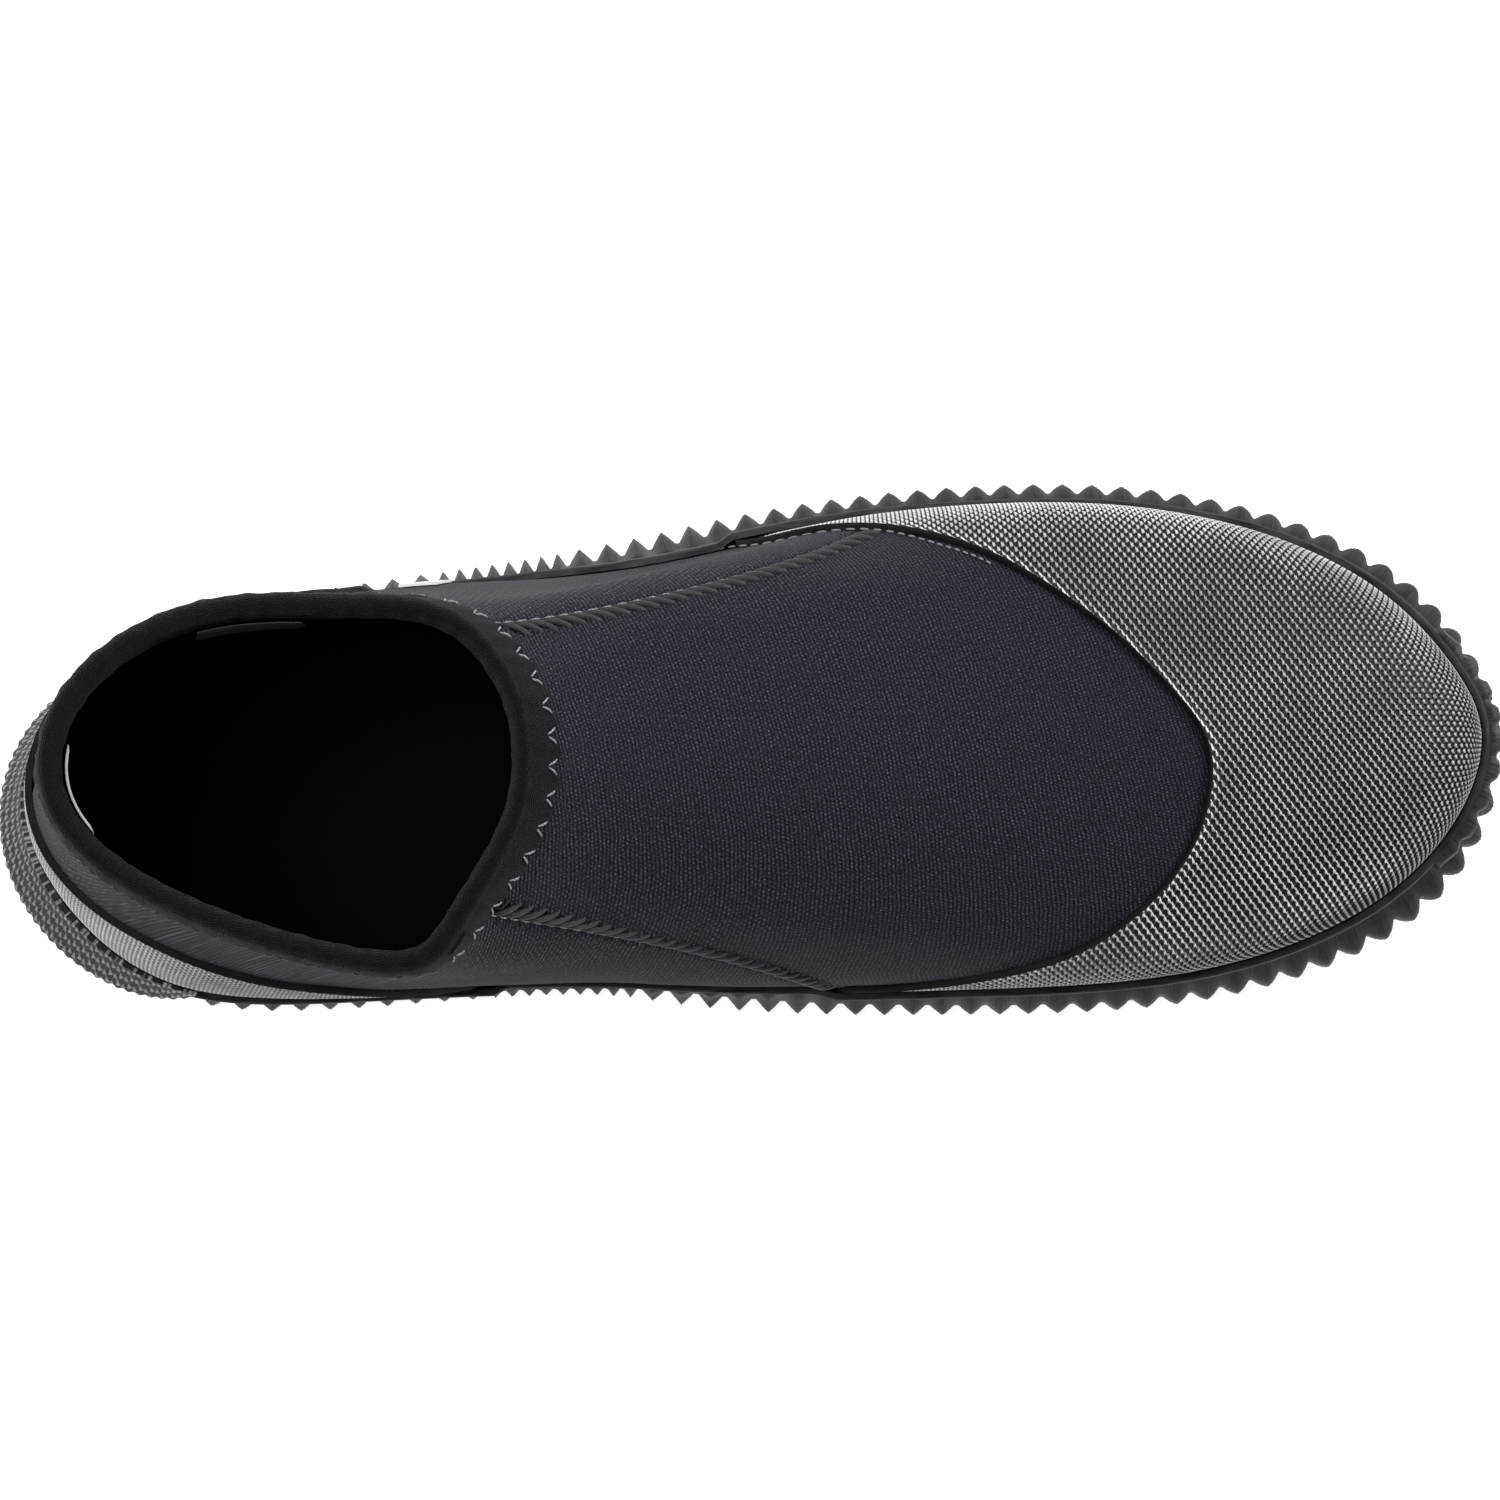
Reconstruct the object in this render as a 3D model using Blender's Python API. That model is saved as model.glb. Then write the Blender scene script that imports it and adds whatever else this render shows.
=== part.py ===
"""A low-cut slip-on neoprene water boot for the left foot, as separate sewn and bonded pieces.

The boot points along +X, its outer side is +Y and it stands on the ground plane, Z = 0.
Every upper piece lies on one surface, the outer face of the neoprene. A point of it is (a, s):
a is the station round the boot in degrees, 0 at the toe, 90 on the outer side, 180 at the heel,
and s runs from 0 at the feather line, where the upper meets the sole, to 1 at the collar's rim.
A third number, the depth, is the distance outwards from that surface.
"""

import math

import bmesh
import bpy
import numpy as np

MM = 0.001

# Overall sizes
SOLE_LENGTH = 268 * MM  # the feather line, heel to toe
SOLE_WIDTH = 88 * MM
COLLAR_HEIGHT = 98 * MM
COLLAR_WAVE = 4 * MM  # how much the collar rises at its front and its back, and dips at its sides
COLLAR_LENGTH = 85.5 * MM
COLLAR_WIDTH = 67.5 * MM
COLLAR_SETBACK = 5.5 * MM  # the collar's rear, ahead of the sole's rear
TOE_SPRING = 5 * MM  # how far the toe's tip is off the ground
BALL = 185 * MM  # where the sole leaves the ground, from the heel

# Walls and clearances
GAP = 0.3 * MM
NEOPRENE = 2.5 * MM
CAP_RUBBER = 1.0 * MM
FOXING = 1.5 * MM
BINDING = 0.6 * MM
TAPE = 0.4 * MM
LABEL = 0.5 * MM
INSOLE = 3.5 * MM
STROBEL = 2.0 * MM
MIDSOLE = 2.2 * MM

# Heights above the ground
SOLE_PLATE = 4.5 * MM
CUP_TOP = 12.0 * MM
FOXING_TOP = 20.0 * MM
FEATHER_Z = SOLE_PLATE + GAP + MIDSOLE + GAP
STROBEL_Z = FEATHER_Z
INSOLE_Z = STROBEL_Z + STROBEL + GAP

# The outsole's edge
CUP_WALL = 1.7 * MM
TOOTH_TOP = 3.5 * MM  # the teeth have their full depth below this height
TOOTH_AT_FEATHER = 0.6  # the share of a tooth's depth that is left at the feather line
TOOTH_AT_CUP_TOP = 0.1
LARGE_PITCH = 5.5 * MM
FINE_PITCH = 3.2 * MM
WAIST_TEETH = ((76, 89), (274, 292))  # stations between which the teeth are fine
TREAD_DEPTH = 1.8 * MM
TREAD_WIDTH = 3.0 * MM
TREAD_PITCH = 8.5 * MM
TREAD_MARGIN = 5.0 * MM
TREAD_SWEEP = 0.8  # how far a groove's ends lie behind its middle, as a share of the pitch
BUMPER_DEPTH = 2.7 * MM  # the toe bumper, past the foxing band
BUMPER_REACH = 11  # stations each side of the toe's tip
BUMPER_RIBS = 9
BUMPER_RELIEF = 0.3  # the ribs' share of its depth

# Trim
BINDING_LEG = 8.0 * MM
STITCH_RADIUS = 0.35 * MM
STITCH_COUNT = 48
STITCH_HEIGHT = 2.4 * MM
STITCH_DROP = 0.7  # its distance below the rim, as a share of the binding's leg
ROPE_WIDTH = 5.0 * MM
ROPE_HEIGHT = 1.5 * MM
TAPE_WIDTH = 12.0 * MM
TAPE_CLEAR = 1.5 * MM  # between the tapes' ends and the binding
TAPE_RISE = 1.0 * MM  # from the insole's top to the tapes' lower ends
LABEL_DROP = 4.0 * MM  # the inside labels' upper edges, below the rim
SIZE_LABEL = (176, 206)  # the labels' stations
SIZE_LABEL_HEIGHT = 11.0 * MM
WOVEN_LABEL = (103, 131)
WOVEN_LABEL_HEIGHT = 16.0 * MM
SIDE_BADGE = (86, 90.5)
SIDE_BADGE_HEIGHTS = (34 * MM, 46 * MM)
BINDING_JOIN = (294, 304)
BINDING_JOIN_DROPS = (0.5 * MM, 3.6 * MM)
STOP_DEPTH = 7.4 * MM  # the fin strap stop, past the heel cap
STOP_STATIONS = (145, 237)  # the stations between which the strap stop runs
STOP_SWELL = 0.6  # the lower, the nearer its ends it has its full depth
STOP_HEIGHT = (6 * MM, 19 * MM)  # at its ends and at its middle
STOP_FOOT = 0.5 * MM  # its thickness where it meets the cap
# Up the strap stop's section: share of its height, share of its depth
STOP_SECTION = ((0, 0.0), (0.06, 0.86), (0.3, 1.0), (0.42, 0.92), (0.7, 0.45), (1.0, 0.12))
SEAM = 48  # the station of both vamp seams
SEAM_BOW = 8  # stations by which the outer seam bows towards the toe's middle line
SEAM_BOW_SPREAD = 22  # stations to each side of the seam over which the bow fades
OUTER_SEAM_START = 0.47  # the s at which each seam's stitches come out from under the toe cap
INNER_SEAM_START = 0.17
SEAM_CROWN = (0.4, 1, 1, 0.4)  # the stitches' height across the seam

# Station: share of the sole's length from the heel, share of its width from the middle line
SOLE_OUTLINE = {
    0: (1.0, 0.006), 8: (0.986, 0.155), 16: (0.941, 0.325), 24: (0.867, 0.460), 32: (0.776, 0.535),
    40: (0.68, 0.558), 48: (0.586, 0.556), 70: (0.41, 0.497), 95: (0.231, 0.445), 122: (0.11, 0.385),
    150: (0.034, 0.25), 180: (0.0, 0.028), 210: (0.026, -0.20), 238: (0.095, -0.345),
    265: (0.231, -0.372), 290: (0.39, -0.382), 312: (0.535, -0.415), 320: (0.64, -0.426),
    328: (0.745, -0.43), 336: (0.838, -0.397), 344: (0.92, -0.305), 352: (0.976, -0.16),
}
# Station: share of the collar's length from its rear, share of its width from the middle line
COLLAR_OUTLINE = {
    0: (1.0, -0.01), 24: (0.975, 0.175), 48: (0.885, 0.345), 95: (0.6, 0.44), 118: (0.425, 0.447),
    140: (0.237, 0.395), 160: (0.077, 0.256), 180: (0.0, 0.06), 220: (0.16, -0.30),
    265: (0.65, -0.546), 312: (0.865, -0.405), 336: (0.965, -0.205),
}
# A meridian climbs from the feather line to the rim as a spline of eight control points. REACH is
# their share of the way to the rim in plan, RISE of its height, BULGE their distance outwards in mm.
REACH = {
    0: (0, 0, 0.02, 0.12, 0.38, 0.73, 0.96, 1), 48: (0, 0, 0.03, 0.14, 0.38, 0.70, 0.94, 1),
    95: (0, 0, 0.10, 0.25, 0.50, 0.75, 0.92, 1), 180: (0, 0.05, 0.15, 0.30, 0.50, 0.75, 0.92, 1),
    265: (0, 0, 0.10, 0.25, 0.50, 0.75, 0.92, 1), 312: (0, 0, 0.03, 0.14, 0.38, 0.70, 0.94, 1),
}
RISE = {
    0: (0, 0.13, 0.28, 0.36, 0.47, 0.69, 0.885, 1), 48: (0, 0.12, 0.26, 0.40, 0.54, 0.73, 0.88, 1),
    95: (0, 0.14, 0.28, 0.43, 0.58, 0.74, 0.88, 1), 180: (0, 0.12, 0.27, 0.43, 0.58, 0.76, 0.91, 1),
    265: (0, 0.14, 0.28, 0.43, 0.58, 0.74, 0.88, 1), 312: (0, 0.12, 0.26, 0.40, 0.54, 0.73, 0.88, 1),
}
BULGE = {
    0: (0, 1, 1.5, 0, 0, 0, 0, 0), 20: (0, 0.4, 0.6, -0.6, -0.3, 0, 0, 0),
    48: (0, 0.3, -0.2, -1.2, -0.8, 0, 0, 0), 66: (0, 0, -4, -5, -3.5, -1, 0, 0),
    80: (0, 0.4, -0.4, -1, -0.6, 0, 0, 0), 95: (0, 1, 1.5, 1, 0.5, 0, 0, 0),
    135: (0, 1.5, 3, 3, 2, 1, 0, 0), 180: (0, 2, 4, 5, 3.5, 2, 0.5, 0),
    225: (0, 2.2, 3.6, 3.6, 2.5, 1, 0, 0), 265: (0, 1.2, 3, 3.4, 2.6, 1, 0, 0),
    290: (0, 1.8, 3.6, 3.2, 2, 0.5, 0, 0), 312: (0, 2.5, 4, 3, 1, 0, 0, 0),
}
KNOTS = (0, 0, 0, 0, 0.2, 0.4, 0.6, 0.8, 1, 1, 1, 1)
# Station: how far the sole's edge and its teeth stand out, in mm
FLANGE = {
    0: 4.7, 10: 6.4, 24: 6.5, 40: 6.5, 56: 5.2, 70: 4.2, 95: 4, 135: 4, 180: 3, 225: 2.5, 265: 2.2,
    288: 2.2, 305: 3.4, 320: 5.4, 338: 6.2, 350: 6.6,
}
TOOTH = {
    0: 2.5, 24: 2, 48: 2.4, 62: 3, 95: 2.6, 135: 2.5, 180: 2, 225: 2, 265: 1.8, 286: 1.5, 300: 2.5,
    325: 1.8, 340: 2.3,
}
# Station: the s of each rubber cap's edge. Below the foxing band's top there is no cap.
TOE_CAP_EDGE = {
    0: 0.533, 12: 0.553, 24: 0.556, 36: 0.525, 46: 0.45, 54: 0.28, 62: 0.0, 90: -0.3, 180: -0.5,
    270: -0.3, 306: -0.05, 314: 0.12, 321: 0.27, 330: 0.40, 344: 0.495,
}
HEEL_CAP_EDGE = {
    0: -0.6, 60: -0.4, 94: 0.0, 104: 0.36, 116: 0.51, 132: 0.55, 155: 0.52, 180: 0.54, 205: 0.59,
    230: 0.62, 250: 0.57, 264: 0.43, 276: 0.0, 300: -0.4,
}
TOE_CAP_END = 60  # the cap's ends, as stations each side of the toe
TOE_CAP_INNER_END = 48
HEEL_CAP_END = 96
HEEL_CAP_INNER_END = 84
PANEL_EDGE = 0.30  # the row that the panels have where no cap ends

COLUMNS = np.concatenate([np.arange(-60, 60, 4), np.arange(60, 300, 6)])
CAP_ROWS = 6
UPPER_ROWS = 7


def columns_between(start, end):
    """The columns from one station to another, both included."""
    columns = np.concatenate([COLUMNS - 360, COLUMNS, COLUMNS + 360]).astype(float)
    return columns[(columns >= start) & (columns <= end)]


def loop_spline(stations, values):
    """The smooth closed curve through values at stations, in degrees, as a function."""
    knots = np.asarray(stations, float)
    points = np.asarray(values, float)
    count = len(knots)
    spans = np.append(np.diff(knots), 360 - (knots[-1] - knots[0]))
    matrix = np.zeros((count, count))
    right = np.zeros(points.shape)
    for i in range(count):
        after = (i + 1) % count
        matrix[i, i - 1] += spans[i - 1]
        matrix[i, i] += 2 * (spans[i - 1] + spans[i])
        matrix[i, after] += spans[i]
        slope_after = (points[after] - points[i]) / spans[i]
        slope_before = (points[i] - points[i - 1]) / spans[i - 1]
        right[i] = 6 * (slope_after - slope_before)
    bends = np.linalg.solve(matrix, right)

    def curve(station):
        at = (np.asarray(station, float) - knots[0]) % 360 + knots[0]
        i = np.clip(np.searchsorted(knots, at, side="right") - 1, 0, count - 1)
        j = (i + 1) % count
        span = spans[i][..., None]
        after = (at - knots[i])[..., None]
        before = span - after
        cubic = (bends[i] * before**3 + bends[j] * after**3) / (6 * span)
        start = (points[i] / span - bends[i] * span / 6) * before
        return cubic + start + (points[j] / span - bends[j] * span / 6) * after

    return curve


def table_spline(table):
    """The same for a table of station: value or values."""
    values = [value if isinstance(value, tuple) else (value,) for value in table.values()]
    return loop_spline(list(table), values)


sole_outline = table_spline(SOLE_OUTLINE)
collar_outline = table_spline(COLLAR_OUTLINE)
reach_at = table_spline(REACH)
rise_at = table_spline(RISE)
bulge_at = table_spline(BULGE)
flange_at = table_spline(FLANGE)
tooth_at = table_spline(TOOTH)
toe_edge_at = table_spline(TOE_CAP_EDGE)
heel_edge_at = table_spline(HEEL_CAP_EDGE)


def weights(s):
    """The eight weights of a cubic B-spline's control points at s."""
    s = np.clip(s, 0, 1 - 1e-12)
    now = [((KNOTS[i] <= s) & (s < KNOTS[i + 1])).astype(float) for i in range(len(KNOTS) - 1)]
    for degree in (1, 2, 3):
        before = now
        now = []
        for i in range(len(before) - 1):
            weight = np.zeros(s.shape)
            if KNOTS[i + degree] > KNOTS[i]:
                weight += (s - KNOTS[i]) / (KNOTS[i + degree] - KNOTS[i]) * before[i]
            if KNOTS[i + degree + 1] > KNOTS[i + 1]:
                span = KNOTS[i + degree + 1] - KNOTS[i + 1]
                weight += (KNOTS[i + degree + 1] - s) / span * before[i + 1]
            now.append(weight)
    return np.stack(now, -1)


def feather(a):
    """The feather line in plan."""
    return sole_outline(a) * (SOLE_LENGTH, SOLE_WIDTH)


def rim(a):
    """The collar's rim in plan."""
    return collar_outline(a) * (COLLAR_LENGTH, COLLAR_WIDTH) + (COLLAR_SETBACK, 0)


def outward(a):
    """The feather line's outward direction in plan."""
    along = feather(a + 0.5) - feather(a - 0.5)
    out = np.stack([along[..., 1], -along[..., 0]], -1)
    return out / np.linalg.norm(out, axis=-1, keepdims=True)


def on_surface(a, s):
    """The point (a, s) of the surface."""
    a, s = np.broadcast_arrays(np.asarray(a, float), np.asarray(s, float))
    from_seam = (a + 180) % 360 - 180 - SEAM
    a = a - SEAM_BOW * np.sin(np.pi * s**2) * np.exp(-((from_seam / SEAM_BOW_SPREAD) ** 2))
    spread = weights(s)
    reach = (reach_at(a) * spread).sum(-1)[..., None]
    rise = (rise_at(a) * spread).sum(-1)[..., None]
    bulge = (bulge_at(a) * spread).sum(-1)[..., None] * MM
    low = feather(a)
    plan = low + reach * (rim(a) - low) + bulge * outward(a)
    top = COLLAR_HEIGHT + COLLAR_WAVE * np.cos(np.radians(2 * a))[..., None]
    return np.concatenate([plan, FEATHER_Z + rise * (top - FEATHER_Z)], -1)


def place(a, s, depth=0.0):
    """The point (a, s) moved outwards by depth."""
    a, s = np.broadcast_arrays(np.asarray(a, float), np.asarray(s, float))
    low, high = np.clip(s - 1e-3, 0, 1), np.clip(s + 1e-3, 0, 1)
    round_boot = on_surface(a + 0.1, s) - on_surface(a - 0.1, s)
    normal = np.cross(round_boot, on_surface(a, high) - on_surface(a, low))
    normal /= np.linalg.norm(normal, axis=-1, keepdims=True)
    return on_surface(a, s) + normal * np.asarray(depth, float)[..., None]


def at_height(a, height, depth=0.0):
    """The s at which the surface, moved outwards by depth, is this high, low on the boot."""
    s = np.linspace(0, 0.6, 121)
    a, height, depth = np.broadcast_arrays(np.atleast_1d(a), height, depth)
    heights = place(a[:, None], s, np.repeat(depth[:, None], len(s), 1))[..., 2]
    return np.array([np.interp(up, line, s) for up, line in zip(height, heights)])


def below_rim(a, distance):
    """The s this far down the surface from the rim."""
    s = np.linspace(1, 0.5, 101)
    a, distance = np.broadcast_arrays(np.atleast_1d(a), distance)
    steps = np.linalg.norm(np.diff(on_surface(a[:, None], s), axis=1), axis=2)
    lengths = np.cumsum(steps, axis=1)
    return np.array([np.interp(d, np.append(0, line), s) for d, line in zip(distance, lengths)])


def panel_rows(a):
    """The s of each row of the neoprene at each station, with rows along the caps' edges."""
    low = at_height(a, FOXING_TOP)
    edge = np.maximum(np.maximum(toe_edge_at(a)[:, 0], heel_edge_at(a)[:, 0]), PANEL_EDGE)
    lowest = [np.zeros(len(a)), at_height(a, CUP_TOP + GAP)]
    cap = [low + (edge - low) * i / CAP_ROWS for i in range(CAP_ROWS)]
    leg = below_rim(a, BINDING_LEG)
    upper = [edge + (leg - edge) * i / UPPER_ROWS for i in range(UPPER_ROWS + 1)]
    under_binding = [below_rim(a, BINDING_LEG / 2), np.ones(len(a))]
    return np.stack(lowest + cap + upper + under_binding, -1)


def cap_rows(a, edge):
    """The s of each row of a rubber cap, from under the foxing band to the cap's edge."""
    low = at_height(a, FOXING_TOP)
    edge = np.maximum(edge(a)[:, 0], low + 0.02)
    start = [at_height(a, CUP_TOP + 2 * GAP, GAP + CAP_RUBBER)]
    return np.stack(start + [low + (edge - low) * i / CAP_ROWS for i in range(CAP_ROWS + 1)], -1)


def ring_faces(bm, inside, outside, closed):
    """Closes a wall between two grids of vertices, each indexed by column and row."""
    columns, rows = len(outside), len(outside[0])
    steps = range(columns if closed else columns - 1)
    for i in steps:
        j = (i + 1) % columns
        for k in range(rows - 1):
            bm.faces.new((outside[i][k], outside[j][k], outside[j][k + 1], outside[i][k + 1]))
            bm.faces.new((inside[i][k], inside[i][k + 1], inside[j][k + 1], inside[j][k]))
        bm.faces.new((outside[j][0], outside[i][0], inside[i][0], inside[j][0]))
        bm.faces.new((outside[i][-1], outside[j][-1], inside[j][-1], inside[i][-1]))
    if closed:
        return
    for k in range(rows - 1):
        bm.faces.new((outside[0][k], outside[0][k + 1], inside[0][k + 1], inside[0][k]))
        bm.faces.new((outside[-1][k + 1], outside[-1][k], inside[-1][k], inside[-1][k + 1]))


def wall(name, a, s, inner, outer, material, closed=False):
    """A layer of the upper: a is one station for each column, s one value for each column and row.

    s may be a pair, the rows of the inner face and those of the outer face.
    """
    bm = bmesh.new()
    grids = []
    for rows, depth in zip(s if isinstance(s, tuple) else (s, s), (inner, outer)):
        points = place(np.asarray(a)[:, None], rows, np.broadcast_to(depth, np.shape(rows)))
        grids.append([[bm.verts.new(point) for point in column] for column in points])
    ring_faces(bm, *grids, closed)
    return finish(name, bm, material)


def finish(name, bm, material):
    """Makes the object, with the toe's lift, smooth faces and outward normals."""
    lift_toe(bm)
    bmesh.ops.recalc_face_normals(bm, faces=bm.faces)
    mesh = bpy.data.meshes.new(name)
    bm.to_mesh(mesh)
    bm.free()
    mesh.shade_smooth()
    mesh.set_sharp_from_angle(angle=math.radians(40))
    piece = bpy.data.objects.new(name, mesh)
    piece.data.materials.append(material)
    piece.parent = boot
    bpy.context.scene.collection.objects.link(piece)
    return piece


def lift_toe(bm):
    """Lifts everything ahead of the ball of the foot along a parabola."""
    front = SOLE_LENGTH
    for vertex in bm.verts:
        ahead = max(0.0, vertex.co.x - BALL) / (front - BALL)
        vertex.co.z += TOE_SPRING * ahead**2


def cut_across(bm):
    """Cuts long faces across the boot, so that they can follow the toe's lift."""
    for x in np.linspace(BALL, SOLE_LENGTH, 9):
        everything = bm.verts[:] + bm.edges[:] + bm.faces[:]
        bmesh.ops.bisect_plane(bm, geom=everything, plane_co=(x, 0, 0), plane_no=(1, 0, 0))


def coat(name, colour, roughness, metallic=0.0):
    """A plain material."""
    material = bpy.data.materials.new(name)
    material.use_nodes = True
    shader = material.node_tree.nodes["Principled BSDF"]
    shader.inputs["Base Color"].default_value = (*colour, 1)
    shader.inputs["Roughness"].default_value = roughness
    shader.inputs["Metallic"].default_value = metallic
    return material


def plate(name, inset, bottom, thickness, material):
    """A flat layer inside the boot, as the feather line drawn in by inset."""
    bm = bmesh.new()
    outline = feather(COLUMNS) - outward(COLUMNS) * inset
    face = bm.faces.new([bm.verts.new((x, y, bottom)) for x, y in outline])
    grown = bmesh.ops.extrude_face_region(bm, geom=[face])["geom"]
    upper = [item for item in grown if isinstance(item, bmesh.types.BMVert)]
    bmesh.ops.translate(bm, vec=(0, 0, thickness), verts=upper)
    cut_across(bm)
    return finish(name, bm, material)


def tooth_stations():
    """The stations of the sole edge's valleys and tips by turns, evenly along each zone."""
    fine = np.arange(0, 360.01, 0.25)
    steps = np.linalg.norm(np.diff(feather(fine), axis=0), axis=1)
    length = np.append(0, np.cumsum(steps))
    marks = [0]
    for start, end in WAIST_TEETH:
        marks += [start, end]
    marks.append(360)
    found = []
    for i in range(len(marks) - 1):
        start, end = np.interp(marks[i : i + 2], fine, length)
        pitch = FINE_PITCH if i % 2 else LARGE_PITCH
        halves = 2 * round((end - start) / pitch)
        found += list(np.interp(np.linspace(start, end, halves, endpoint=False), length, fine))
    return np.array(found)


def outsole(material):
    """The moulded rubber cup sole: plate, raised wall, toothed edge and grooved tread."""
    a = tooth_stations()
    tip = np.arange(len(a)) % 2
    out = outward(a)
    low = feather(a)
    flange = flange_at(a)[:, 0] * MM
    tooth = tooth_at(a)[:, 0] * MM * tip
    high = place(a, at_height(a, CUP_TOP), 0)[:, :2]
    levels = (
        (low + out * GAP, SOLE_PLATE),
        (low + out * GAP, FEATHER_Z),
        (high + out * GAP, CUP_TOP),
        (high + out * (GAP + CUP_WALL + TOOTH_AT_CUP_TOP * tooth)[:, None], CUP_TOP),
        (low + out * (flange + TOOTH_AT_FEATHER * tooth)[:, None], FEATHER_Z),
        (low + out * (flange + tooth)[:, None], TOOTH_TOP),
        (low + out * (flange + tooth - GAP)[:, None], 0.0),
    )
    bm = bmesh.new()
    loops = [[bm.verts.new((x, y, z)) for x, y in plan] for plan, z in levels]
    for inner, outer in zip(loops, loops[1:]):
        for i in range(len(a)):
            j = (i + 1) % len(a)
            bm.faces.new((inner[i], inner[j], outer[j], outer[i]))
    bm.faces.new(loops[0])
    bm.faces.new(loops[-1])
    cut_across(bm)
    sole = finish("outsole", bm, material)
    cut = sole.modifiers.new("tread", "BOOLEAN")
    cut.object = tread_cutter()
    return sole


def half_widths(x):
    """The feather line's y on the inner and the outer side at x."""
    sides = []
    for stations in (np.arange(180, 361), np.arange(180, -1, -1)):
        line = feather(stations)
        sides.append(np.interp(x, line[:, 0], line[:, 1]))
    return sides


def tread_cutter():
    """The tread's grooves: chevrons across the sole, pointing to the toe."""
    bm = bmesh.new()
    for x in np.arange(TREAD_PITCH * 2, SOLE_LENGTH - TREAD_PITCH * 2, TREAD_PITCH):
        inner, outer = half_widths(x - TREAD_PITCH)
        inner, outer = inner + TREAD_MARGIN, outer - TREAD_MARGIN
        middle = (inner + outer) / 2
        back = TREAD_PITCH * TREAD_SWEEP
        corners = []
        for side in (0, TREAD_WIDTH):
            line = ((x - back + side, inner), (x + side, middle), (x - back + side, outer))
            corners.append([bm.verts.new((px, py, -TREAD_DEPTH)) for px, py in line])
        face = bm.faces.new(corners[0] + corners[1][::-1])
        grown = bmesh.ops.extrude_face_region(bm, geom=[face])["geom"]
        upper = [item for item in grown if isinstance(item, bmesh.types.BMVert)]
        bmesh.ops.translate(bm, vec=(0, 0, 2 * TREAD_DEPTH), verts=upper)
    cutter = finish("tread_cutter", bm, rubber)
    cutter.hide_render = True
    cutter.display_type = "WIRE"
    return cutter


def capped(a):
    """1 at the stations where a rubber cap lies under the foxing band, and 0 elsewhere."""
    a = (np.asarray(a) + 180) % 360 - 180
    toe = (a <= TOE_CAP_END) & (a >= -TOE_CAP_INNER_END)
    return (toe | (a >= HEEL_CAP_END) | (a <= -HEEL_CAP_INNER_END)).astype(float)


def foxing_depth(a):
    """The depth of the foxing band's inner face, which steps up over the caps."""
    return GAP + (CAP_RUBBER + GAP) * capped(a)


def level_rows(a, bottom, top, inner, outer):
    """Rows that are level between two heights, for the inner and the outer face of a band."""
    heights = np.linspace(bottom, top, 4)
    faces = [[at_height(a, height, depth) for height in heights] for depth in (inner, outer)]
    return tuple(np.stack(face, -1) for face in faces)


def foxing_band(material):
    a = COLUMNS
    inner = foxing_depth(a)
    s = level_rows(a, CUP_TOP + GAP, FOXING_TOP, inner, inner + FOXING)
    inner = inner[:, None]
    return wall("foxing_band", a, s, inner, inner + FOXING, material, closed=True)


def toe_bumper(material):
    """The ribbed rubber bumper on the toe's tip, over the foxing band."""
    a = np.linspace(-BUMPER_REACH, BUMPER_REACH, 4 * BUMPER_RIBS + 1)
    inner = foxing_depth(0) + FOXING + GAP
    rib = np.array([0, 0, 1, 1] * BUMPER_RIBS + [0])
    outer = inner + (BUMPER_DEPTH - GAP) * (1 - BUMPER_RELIEF + BUMPER_RELIEF * rib)
    s = level_rows(a, CUP_TOP + 2 * GAP, FOXING_TOP - 2 * GAP, inner, outer)
    return wall("toe_bumper", a, s, inner, outer[:, None], material)


def toe_cap(material):
    a = columns_between(-TOE_CAP_INNER_END, TOE_CAP_END)
    return wall("toe_cap", a, cap_rows(a, toe_edge_at), GAP, GAP + CAP_RUBBER, material)


def heel_cap(material):
    a = columns_between(HEEL_CAP_END, 360 - HEEL_CAP_INNER_END)
    return wall("heel_cap", a, cap_rows(a, heel_edge_at), GAP, GAP + CAP_RUBBER, material)


def strap_stop(material):
    """The ledge round the heel that keeps a fin's strap from sliding down."""
    start, end = STOP_STATIONS
    a = columns_between(start, end)
    swell = np.abs(np.sin(np.pi * (a - start) / (end - start))) ** STOP_SWELL
    foot = FOXING_TOP + GAP * 2
    height = STOP_HEIGHT[0] + (STOP_HEIGHT[1] - STOP_HEIGHT[0]) * swell
    inner = GAP * 2 + CAP_RUBBER
    rows, depths = [], []
    for up, out in STOP_SECTION:
        depths.append(inner + STOP_FOOT + STOP_DEPTH * out * swell)
        rows.append(at_height(a, foot + up * height, depths[-1]))
    s = np.stack(rows, -1)
    return wall("heel_strap_stop", a, s, inner, np.stack(depths, -1), material)


def panels(material):
    """The three neoprene panels, cut at the two vamp seams and at the heel seam."""
    cuts = (
        ("vamp_panel", -SEAM, SEAM),
        ("lateral_quarter", SEAM, 180),
        ("medial_quarter", 180, 360 - SEAM),
    )
    for name, start, end in cuts:
        a = columns_between(start, end)
        a[0] += across(start, 1.0, GAP / 2)
        a[-1] -= across(end, 1.0, GAP / 2)
        wall(name, a, panel_rows(a), -NEOPRENE, 0.0, material)


def across(a, s, distance):
    """The change of station that moves this distance round the boot at (a, s)."""
    speed = np.linalg.norm(on_surface(a + 0.5, s) - on_surface(a - 0.5, s), axis=-1)
    return distance / speed


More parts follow.
